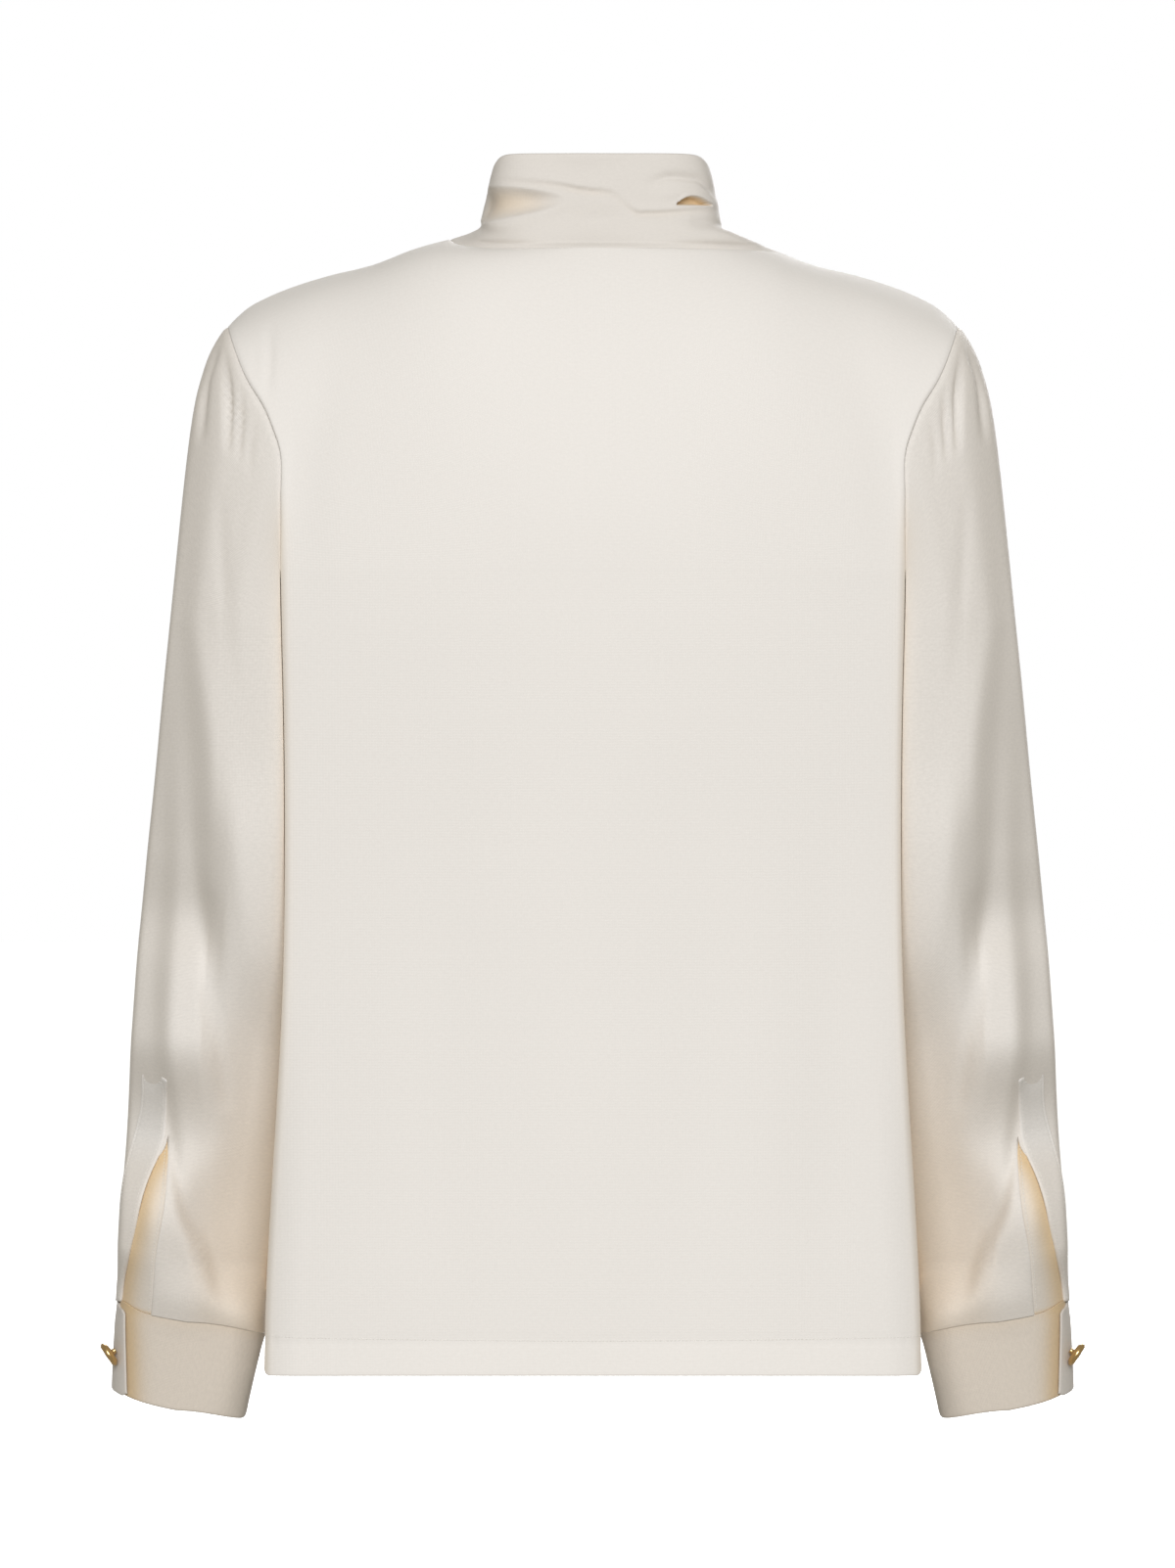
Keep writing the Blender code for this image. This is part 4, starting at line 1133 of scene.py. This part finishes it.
def sleeveCloth():
    # rows from the armhole to the cuff, columns from the slit's back edge round to its front
    columns = sleeve["columns"]
    around = np.linspace(0.0, 1.0, columns + 1)
    shares = clustered(0.0, 1.0, 0.022, ("start",), 0.006, 0.10)
    capAngles = sleeve["seamAngle"] + 360.0 * around
    cap = capPoints(capAngles, shares)

    # the tube below the cap, its slit edge rounded over
    z = clustered(sleeve["top"], sleeve["end"], 2.6, ("end",), 0.8, 6.0)[1:]
    start = slitBackAngle(z)
    slit = z < sleeve["slitTop"]
    end = 360.0 + np.where(slit, panelEdge(z), start)
    angles = start[:, None] + (end - start)[:, None] * around
    rim = -curl((angles - start[:, None]) * sleeve["perDegree"], 0.7) * slit[:, None]
    tube = tubePoints(angles, z, rim)

    # the cap's creases, and its seam tucked in under the panels' edges
    normals = gridNormals(cap, True)
    settled = ease(shares / 0.10)[:, None]
    capAngles = np.broadcast_to(capAngles, cap.shape[:2])
    behind = np.sin(np.radians(capAngles)) > 0
    cap[..., 1] += settled * tubeCreases(capAngles, cap[..., 2], cap)
    move = (settled * ease((1.0 - shares) / 0.15)[:, None] * behind
            * foldSum(capFolds, cap[..., 0], cap[..., 2]))
    run = running(np.linalg.norm(np.diff(cap, axis=0), axis=-1))
    move = move - sleeve["seamRoll"] * hill(run, 1.3)
    cap = cap + normals * move[..., None]
    cap[..., 0] -= sleeve["seamTuck"] * hill(run, 1.6)
    points = np.concatenate([cap, tube])
    joined = np.concatenate([np.ones(len(shares), bool), ~slit])
    points[joined, -1] = points[joined, 0]
    return points, joined


def sleeveAmber(points):
    # painted shade, an amber tint: beside the body, in a broad patch towards the wrist, faintly all
    # over, and where the cloth turns away from behind
    x, z = points[..., 0], points[..., 2]
    lower = ease((-380.0 - z) / 160.0)
    wrist = ease((-440.0 - z) / 125.0)
    fromBody = np.clip(x - along(torsoSections, "z", "half", z), 0.0, None)
    besideBody = ((paintedShadeAmounts["sleeveBeside"] + paintedShadeAmounts["sleeveBesideLow"] * lower)
                  * np.exp(-fromBody / (4.0 + 20.0 * lower)))
    broad = paintedShadeAmounts["sleeveBroad"] * wrist * ease((38.0 + 14.0 * wrist - fromBody)
                                                / (30.0 - 10.0 * wrist))
    facing = gridNormals(points, True)[..., 1].clip(0.0)
    warm = (besideBody + broad) * ease((-130.0 - z) / 40.0)
    return np.clip(warm + paintedShadeAmounts["sleeve"] + paintedShadeAmounts["sleeveAway"] * (1.0 - facing), 0.0, 1.0)


sleevePoints, sleeveJoined = sleeveCloth()
sleevePaintedShade = sleeveAmber(sleevePoints)
for side, sign in sides.items():
    clothPiece("sleevePanel_" + side, sleevePoints, silkSleeve, sleeve["wall"],
               ["sleeve_" + side], sign, joined=sleeveJoined, flip=sign > 0, warm=sleevePaintedShade)
print("sleeves")


# Laps of the wrist slit

laps = {
    "wall": 0.7,
    "strip": 18.0,              # nominal width of a strip
    "rowSpacing": 1.5,
    "columns": 26,
    "placketTop": -472.5,
    "arch": 3.2,                # the placket's top rises to this in the middle
    "placketLie": 0.9,          # how far its face lies above the sleeve
    "edgeCurl": 1.3,            # radius of its free edge
    "gape": 0.6,                # how far its free edge stands off below the tack
    "tuckIn": 1.9,              # its free edge lies closer near the cuff
    "tackZ": -503.0,
    "tackDeep": 0.3,            # its line is drawn in this deep
    "ditch": 0.25,              # and the other lines of stitches this deep
    "inset": 1.9,               # of the stitches from the strip's edges
    "underlapTop": -498.0,
    "underlapLie": 0.5,         # how far below the sleeve's face
    "underlapHidden": 27.0,     # degrees of it under the placket, and beside the sleeve
    "underlapBack": 1.5,
    "underlapInset": 2.6,
    "underlapRidge": 0.5,       # it stands up beside the sleeve
    "underlapSink": 2.0,        # and sinks under the placket
}
lapAcross = clustered(0.0, laps["strip"], 0.9, ("start", "end"), 0.14, 2.4) / laps["strip"]
placketZ = clustered(laps["placketTop"], sleeve["end"], laps["rowSpacing"])
underlapZ = clustered(laps["underlapTop"], sleeve["end"], laps["rowSpacing"])


def placketCloth():
    # strip outside the sleeve from its arched top down to the cuff, rising towards its free
    # edge, with ditches where it is stitched
    z = placketZ
    across = lapAcross
    wide = laps["strip"]
    edge = 360.0 + placketEdge(z)
    width = along(placket, "z", "width", z)
    angles = (edge - width)[:, None] + width[:, None] * across
    down = ease((laps["tackZ"] - z) / 26.0)[:, None] * ease((z + 616.0) / 30.0)[:, None]
    gape = laps["gape"] * down * across ** 2.0
    rolled = -curl((1.0 - across) * wide, laps["edgeCurl"]) - curl(across * wide, 0.7)
    ditch = -laps["ditch"] * hill(across * wide - laps["inset"], 0.5)
    tack = -laps["tackDeep"] * hill(z - laps["tackZ"], 0.7)[:, None]
    tuckIn = -laps["tuckIn"] * across ** 4 * ease((-535.0 - z) / 30.0)[:, None]
    points = tubePoints(angles, z, laps["placketLie"] + gape + rolled + ditch + tack + tuckIn)
    lift = laps["arch"] * np.sin(math.pi * across) ** 0.8 * hill(z - z[0], 6.0)[:, None]
    points[..., 2] += lift
    # painted shade: a faint amber tint below the tack, where the free edge stands off
    return points, paintedShadeAmounts["placket"] * down


def underlapCloth(placketPoints):
    # strip in the slit: it carries on the sleeve's back edge with a ridge and a stitched ditch,
    # and runs in under the placket
    z = underlapZ
    across = np.linspace(0.0, 1.0, laps["columns"] + 1)
    start = placketEdge(z) - laps["underlapHidden"]
    end = slitBackAngle(z) + laps["underlapBack"]
    angles = start[:, None] + (end - start)[:, None] * across
    fromBack = (end[:, None] - angles) * sleeve["perDegree"]
    stitch = -laps["ditch"] * hill(fromBack - laps["underlapInset"], 0.5)
    ridge = laps["underlapRidge"] * hill(fromBack - 1.0, 0.9)
    hidden = laps["underlapSink"] * ease((6.0 - (angles - start[:, None]) * sleeve["perDegree"]) / 10.0)
    top = 1.2 * ease((z + 520.0) / 20.0)[:, None]
    points = tubePoints(angles, z, -laps["underlapLie"] + stitch + ridge - hidden - top)

    # painted shade, an amber tint: under the placket's edge, in the slit's top, beside the cuff and
    # faintly all over
    freeEdge = along(tableOf("x y z", *placketPoints[::-12, -1]), "z", "x", points[..., 2])
    fromEdge = (freeEdge - points[..., 0]).clip(0.0)
    deep = ease((z + 530.0) / 30.0)[:, None]
    warm = paintedShadeAmounts["underlapEdge"] * hill(fromEdge, paintedShadeAmounts["underlapReach"]) + paintedShadeAmounts["underlap"]
    warm = np.clip(warm + paintedShadeAmounts["underlapTop"] * deep, 0.0, 1.0)
    return points, np.maximum(warm, paintedShadeAmounts["underlapCuff"] * hill(z + 606.0, 3.0)[:, None])


placketPoints, placketPaintedShade = placketCloth()
underlapPoints, underlapPaintedShade = underlapCloth(placketPoints)
for side, sign in sides.items():
    for name, points, warm in (("placket", placketPoints, placketPaintedShade),
                               ("underlap", underlapPoints, underlapPaintedShade)):
        clothPiece(name + "Strip_" + side, points, silkSleeve, laps["wall"],
                   [name + "_" + side], sign, flip=sign > 0, warm=warm)
print("plackets")


# Cuff: one band that starts under its own end and comes round over it

cuff = {
    "start": 2.0,               # degrees; it ends past 360
    "end": 392.0,
    "rows": 40,
    "depth": 50.0,
    "perDegree": 0.62,          # millimetres round it
    "y": -40.0,
    "topOuter": 270.5,
    "topInner": 186.8,
    "topRy": 31.5,
    "topZ": -605.2,
    "topTilt": 7.5,
    "bottomOuter": 273.0,
    "bottomInner": 197.5,
    "bottomRy": 30.5,
    "bottomZ": -656.0,
    "bottomTilt": 7.5,
    "bottomSlope": -3.2,
    "lapDrop": 4.0,             # its top edge steps down this far over the lap
    "dropFrom": 362.0,
    "dropTo": 382.0,
    "wall": 1.5,
    "gape": 0.8,                # the end's edge stands off the layer beneath
    "gapeReach": 14.0,
    "lean": 10.0,               # degrees that the end leans from top to bottom
    "edgeIn": 0.55,             # its lower edge rounds in
    "waves": (0.5, 0.35),       # soft unevenness round it: three waves and seven
    "cornerReach": 6.0,         # the end's corners: how far they round, and how much the
    "cornerUp": 2.2,            # lower one rises and the upper one drops
    "cornerDown": 1.6,
}


def cuffPoints(angles, share, out=0.0):
    # angles along the columns pass 360 on the outer layer, share runs down the rows
    angles = np.broadcast_to(np.asarray(angles, dtype=float), np.broadcast(angles, share).shape)
    values = {"y": cuff["y"]}
    for name in ("Outer", "Inner", "Ry"):
        top = cuff["top" + name]
        values[name.lower()] = top + (cuff["bottom" + name] - top) * share
    points = sleeveRing(values, angles, sleeve["slitLift"] * comeOver(angles) + out)
    turn = np.radians(angles)
    top = cuff["topZ"] + cuff["topTilt"] * np.cos(turn) - cuffSag(angles)
    top = top - cuff["lapDrop"] * ease((angles - cuff["dropFrom"])
                                       / (cuff["dropTo"] - cuff["dropFrom"]))
    bottom = (cuff["bottomZ"] + cuff["bottomTilt"] * np.cos(turn)
              + cuff["bottomSlope"] * np.sin(turn))
    points[..., 2] = top + (bottom - top) * share
    return points


def cuffCloth():
    # the band with its edges rounded, its outer end standing off a little and two soft waves
    # round it
    angles = clustered(cuff["start"], cuff["end"], 3.1, ("start", "end"), 0.7, 12.0)[None, :]
    share = clustered(0.0, 1.0, 1.0 / cuff["rows"], ("start", "end"), 0.006, 0.07)[:, None]
    down = share * cuff["depth"]
    fromEnd = (cuff["end"] - angles) * cuff["perDegree"]
    gape = cuff["gape"] * ease((cuff["gapeReach"] - fromEnd) / cuff["gapeReach"]) ** 1.5
    rounding = -cuff["edgeIn"] * hill(cuff["depth"] - down, 0.55) - curl(fromEnd, 0.8)
    turn = np.radians(angles)
    three, seven = cuff["waves"]
    soft = three * np.sin(turn * 3.0 + share * 2.4) + seven * np.sin(turn * 7.0 + 1.0)
    out = gape + rounding + soft * ease(down / 12.0)
    angles = angles + (cuff["lean"] * share - 1.0) * ease((angles - 352.0) / 40.0)
    points = cuffPoints(angles, share, out)

    # the end's corners are rounded; painted shade, an amber tint, in the layer that the end lies over,
    # along the top and faintly all over
    reach = cuff["cornerReach"]
    corner = ease((reach - fromEnd) / reach)
    low = ease((down - cuff["depth"] + reach) / reach)
    points[..., 2] += cuff["cornerUp"] * corner ** 2 * low
    points[..., 2] -= cuff["cornerDown"] * corner ** 2 * ease((reach - down) / reach)
    past = (angles + 360.0 - cuff["end"] - cuff["lean"] * share + 1.0) * cuff["perDegree"]
    under = np.exp(-(past.clip(0.0) / paintedShadeAmounts["cuffReach"]) ** 2.4)
    under = under * (angles < 200.0) * (past > -25.0)
    warm = paintedShadeAmounts["cuffUnder"] * under + paintedShadeAmounts["cuffTop"] * hill(down, 4.0) + paintedShadeAmounts["cuff"]
    return points, np.clip(np.where(angles > 340.0, paintedShadeAmounts["cuffEnd"], warm), 0.0, 1.0)


cuffGrid, cuffPaintedShade = cuffCloth()
for side, sign in sides.items():
    clothPiece("cuffBand_" + side, cuffGrid, silkCuff, cuff["wall"], ["cuff_" + side], sign,
               flip=sign > 0, warm=cuffPaintedShade)
print("cuffs")


# Cuff buttons: a pearl face in a gilt bezel on a shank

button = {
    "angle": 25.0,              # degrees round the cuff's outer layer, past its outer side
    "share": 0.53,              # of the way down the cuff
    "standoff": 5.6,
    "tilt": 34.0,               # its face looks outward, this far down
    "back": 0.10,               # and a little back
    "segments": 96,
    "pearl": (0.86, 0.83, 0.78),
    "pearlGrey": (0.70, 0.68, 0.66),
    "pearlRose": (0.84, 0.76, 0.72),
    "pearlRough": 0.10,
    "gilt": (0.72, 0.49, 0.22),
    "giltRough": 0.22,
}
# Profiles of its bezel, with the shank, and of its pearl: (radius, height)
bezelProfile = [
    (0.0, 1.35), (4.9, 1.35), (5.25, 1.5), (5.4, 1.95), (5.6, 2.2), (5.9, 2.3), (6.2, 2.25),
    (6.35, 2.05), (6.4, 1.8), (6.65, 1.75), (7.0, 1.6), (7.3, 1.2), (7.4, 0.6), (7.3, 0.0),
    (7.0, -0.5), (6.5, -0.75), (6.3, -0.95), (6.1, -1.3), (5.4, -1.65), (4.0, -1.85),
    (2.3, -1.95), (1.8, -2.1), (1.6, -2.6), (1.5, -3.4), (1.6, -3.9), (0.0, -3.95),
]
pearlProfile = [
    (0.0, 2.55), (1.4, 2.5), (2.8, 2.36), (4.0, 2.14), (4.9, 1.84), (5.25, 1.6), (5.3, 1.45),
    (4.8, 1.4), (0.0, 1.4),
]


def pearlMaterial():
    # mother-of-pearl: drifting bands of cream, rose and grey under a clear coat
    material, tree, shader = newMaterial("pearlFace")
    noise = addNode(tree, "TexNoise", "Fac", {
        "Vector": addNode(tree, "TexCoord", "Object", {}),
        "Scale": 260.0, "Detail": 3.0, "Distortion": 1.4})
    colour = addNode(tree, "ValToRGB", "Color", {"Fac": noise})
    ramp = colour.node.color_ramp
    ramp.elements[0].position = 0.3
    ramp.elements[0].color = opaque(button["pearlGrey"])
    ramp.elements[1].position = 0.7
    ramp.elements[1].color = opaque(button["pearl"])
    ramp.elements.new(0.5).color = opaque(button["pearlRose"])
    fillInputs(shader, {"Base Color": colour, "Roughness": button["pearlRough"],
                        "Coat Weight": 0.6, "Coat Roughness": 0.08})
    return material


# polished plate with faint wear
gilt = mottledMaterial("giltBezel", button["gilt"], 0.86, 900.0, {"Metallic": 1.0}, detail=4.0,
                       roughs=(button["giltRough"] - 0.05, button["giltRough"] + 0.1))
pearl = pearlMaterial()
seat = cuffPoints(np.array([[360.0 + button["angle"]]]), np.array([[button["share"]]]))[0, 0]
tilt = math.radians(button["tilt"])
facing = [math.cos(tilt), button["back"], -math.sin(tilt)]
centre = seat + np.array([button["standoff"], 0.0, 0.0])
for side, sign in sides.items():
    for name, profile, material, nodes in (("Bezel", bezelProfile, gilt, ["button_" + side]),
                                           ("Face", pearlProfile, pearl, [])):
        verts, faces = lathe(profile, button["segments"])
        piece = meshObject("button" + name + "_" + side, turned(verts, centre, facing, sign),
                           faces, flip=sign < 0)
        place(piece, material, nodes)
print("buttons")


# Stitches: short rounded threads laid end to end along a path on the cloth

thread = {
    "length": 1.4,
    "gap": 0.7,
    "thick": 0.19,
    "flat": 0.7,                # its height to its width
    "rings": 6,
    "corners": 6,
    "colour": (0.84, 0.81, 0.755),
}
silkThread = mottledMaterial("sewingThread", thread["colour"], 0.9, 1600.0,
                             {"Roughness": 0.45, "Sheen Weight": 0.2})


def sampled(points, rows, columns):
    # the grid's values at fractional rows and columns
    r = np.clip(rows, 0, points.shape[0] - 1.001)
    c = np.clip(columns, 0, points.shape[1] - 1.001)
    r0 = r.astype(int)
    c0 = c.astype(int)
    fr = (r - r0)[..., None]
    fc = (c - c0)[..., None]
    top = points[r0, c0] * (1 - fc) + points[r0, c0 + 1] * fc
    low = points[r0 + 1, c0] * (1 - fc) + points[r0 + 1, c0 + 1] * fc
    return top * (1 - fr) + low * fr


def stitches(name, grid, rows, columns, flip, sign=1.0):
    # a rounded thread, an ellipse in section whose ends dip in, repeated along a path that
    # runs across a grid at the given rows and columns
    path = sampled(grid, rows, columns)
    normals = sampled(gridNormals(grid, flip), rows, columns)
    run = running(np.linalg.norm(np.diff(path, axis=0), axis=1))
    pitch = thread["length"] + thread["gap"]
    count = max(int(run[-1] / pitch), 1)
    starts = (run[-1] - count * pitch + thread["gap"]) / 2 + pitch * np.arange(count)
    part = np.linspace(0.0, 1.0, thread["rings"])
    at = starts[:, None] + thread["length"] * part
    centreLine = np.stack([np.interp(at, run, path[:, k]) for k in range(3)], axis=-1)
    up = unit(np.stack([np.interp(at, run, normals[:, k]) for k in range(3)], axis=-1))
    beside = np.cross(unit(np.gradient(centreLine, axis=1)), up)
    swell = np.sin(math.pi * np.clip(part, 0.06, 0.94)) ** 0.35
    height = thread["thick"] * (swell - 0.55)
    around = np.linspace(0.0, 2 * math.pi, thread["corners"], endpoint=False)
    radius = (thread["thick"] * swell)[None, :, None, None]
    ring = (beside[:, :, None] * np.cos(around)[:, None] * radius
            + up[:, :, None] * (np.sin(around) * thread["flat"])[:, None] * radius)
    verts = centreLine[:, :, None] + up[:, :, None] * height[None, :, None, None] + ring
    verts = verts.reshape(-1, 3) * np.array([sign, 1.0, 1.0])
    ids = np.arange(len(verts)).reshape(count, thread["rings"], thread["corners"])
    after = np.roll(ids, -1, axis=2)
    quads = np.stack([ids[:, :-1], ids[:, 1:], after[:, 1:], after[:, :-1]], axis=-1)
    caps = np.concatenate([ids[:, 0], ids[:, -1, ::-1]])
    faces = quads.reshape(-1, 4).tolist() + caps.tolist()
    place(meshObject(name, verts, faces, flip=sign > 0), silkThread)


def hemStitches(name, points, flip):
    # all round the hem, level with the top of its turning
    first = hemRows - 1
    last = points.shape[1] - 4
    marks = [3, points.shape[1] // 2, last]
    columns = np.arange(4.0, last, 0.25)
    up = points[first:, :, 2] - points[first:first + 1, :, 2]
    level = [np.interp(torso["hemDepth"], up[:, mark], np.arange(len(up))) for mark in marks]
    stitches(name, points, first + np.interp(columns, marks, level), columns, flip)


def lapStitches(side, sign):
    # placket: down both edges, across its top and its tack; underlap: down beside the sleeve
    inset = laps["inset"] / laps["strip"]
    index = np.arange(len(lapAcross))
    over = np.interp(np.arange(inset, 1.0 - inset, 0.02), lapAcross, index)
    outer, free = np.interp([inset, 1.0 - inset], lapAcross, index)
    down = np.arange(3.0, len(placketPoints) - 1.0, 0.5)
    tack = (laps["placketTop"] - laps["tackZ"]) / laps["rowSpacing"]
    for name, rows, columns in (("placketStitches_", down, np.full(down.shape, outer)),
                                ("placketEdgeStitches_", down, np.full(down.shape, free)),
                                ("placketTopStitches_", np.full(over.shape, 2.2), over),
                                ("placketTack_", np.full(over.shape, tack), over)):
        stitches(name + side, placketPoints, rows, columns, True, sign)

    down = np.arange(6.0, len(underlapPoints) - 1.0, 0.5)
    z = np.interp(down, np.arange(len(underlapPoints)), underlapZ)
    span = slitBackAngle(z) + laps["underlapBack"] - placketEdge(z) + laps["underlapHidden"]
    columns = laps["columns"] * (1.0 - laps["underlapInset"] / sleeve["perDegree"] / span)
    stitches("underlapStitches_" + side, underlapPoints, down, columns, True, sign)


hemStitches("hemStitches_back", backPoints, True)
hemStitches("hemStitches_front", frontPoints, False)
for side, sign in sides.items():
    lapStitches(side, sign)
print("stitches")


# Stage, light and camera

stage = {
    "distance": 4.5,            # metres from the blouse's middle plane
    "height": -0.303,
    "across": 0.003,
    "frameHeight": 0.8891,      # metres seen at that distance
    "floorZ": -1.30,
    "floorGlow": 0.75,
    "floor": (0.93, 0.93, 0.93),
    "white": (1.0, 1.0, 1.0, 1.0),
    "key": (1.0, 1.01, 1.045),
    "keyPower": 1048.0,
    "keySize": 6.0,
    "keyPlace": (0.0, 11.2, 3.8),
    "fillPower": 620.0,
    "fillPlace": (-2.5, -11.0, 3.4),
    "aim": (0.0, 0.0, -0.3),
    "ambient": (1.0, 0.965, 0.875),
    "ambientStrength": 0.36,
}

floorHalf = 60.0 / mm           # the floor's half width, in millimetres like all verts
floorCorners = [(x, y, stage["floorZ"] / mm)
                for x, y in ((-floorHalf, -floorHalf), (floorHalf, -floorHalf),
                             (floorHalf, floorHalf), (-floorHalf, floorHalf))]
floor = meshObject("paleFloor", floorCorners, [[0, 1, 2, 3]])
floor.data.materials.append(mottledMaterial(
    "paleFloor", stage["floor"], 0.99, 3.0,
    {"Roughness": 0.9, "Emission Color": stage["white"], "Emission Strength": stage["floorGlow"]}))
floor.visible_diffuse = False       # the floor is seen but throws no light back on the cloth
floor.visible_glossy = False

# the cloth is lit by a warm surround, and the camera sees a white one
world = bpy.data.worlds.new("softStudio")
bpy.context.scene.world = world
world.use_nodes = True
tree = world.node_tree
fillInputs(tree.nodes["Background"], {"Color": opaque(stage["ambient"]),
                                      "Strength": stage["ambientStrength"]})
seen = addNode(tree, "Background", "Background", {"Color": stage["white"], "Strength": 1.0})
direct = addNode(tree, "LightPath", "Is Camera Ray", {})
blend = addNode(tree, "MixShader", "Shader", {
    "Fac": direct, 1: tree.nodes["Background"].outputs["Background"], 2: seen})
fillInputs(tree.nodes["World Output"], {"Surface": blend})


def areaLight(name, location, power):
    # soft square light turned towards the blouse
    data = bpy.data.lights.new(name, "AREA")
    data.shape = "SQUARE"
    data.size = stage["keySize"]
    data.energy = power
    data.color = stage["key"]
    lamp = bpy.data.objects.new(name, data)
    lamp.location = location
    away = unit(np.array(location) - np.array(stage["aim"]))
    flat = math.hypot(away[0], away[1])
    lamp.rotation_euler = (math.atan2(flat, away[2]), 0.0, math.atan2(away[0], -away[1]))
    bpy.context.scene.collection.objects.link(lamp)


areaLight("backKey", stage["keyPlace"], stage["keyPower"])
areaLight("frontFill", stage["fillPlace"], stage["fillPower"])

cameraData = bpy.data.cameras.new("camera")
cameraData.sensor_width = 36.0
cameraData.lens = cameraData.sensor_width * stage["distance"] / stage["frameHeight"]
cameraData.clip_end = 50.0
camera = bpy.data.objects.new("camera", cameraData)
camera.location = (stage["across"], stage["distance"], stage["height"])
camera.rotation_euler = (math.pi / 2, 0.0, math.pi)
bpy.context.scene.collection.objects.link(camera)
bpy.context.scene.camera = camera
bpy.context.scene.view_settings.view_transform = "Standard"
print("stage")


print("done")
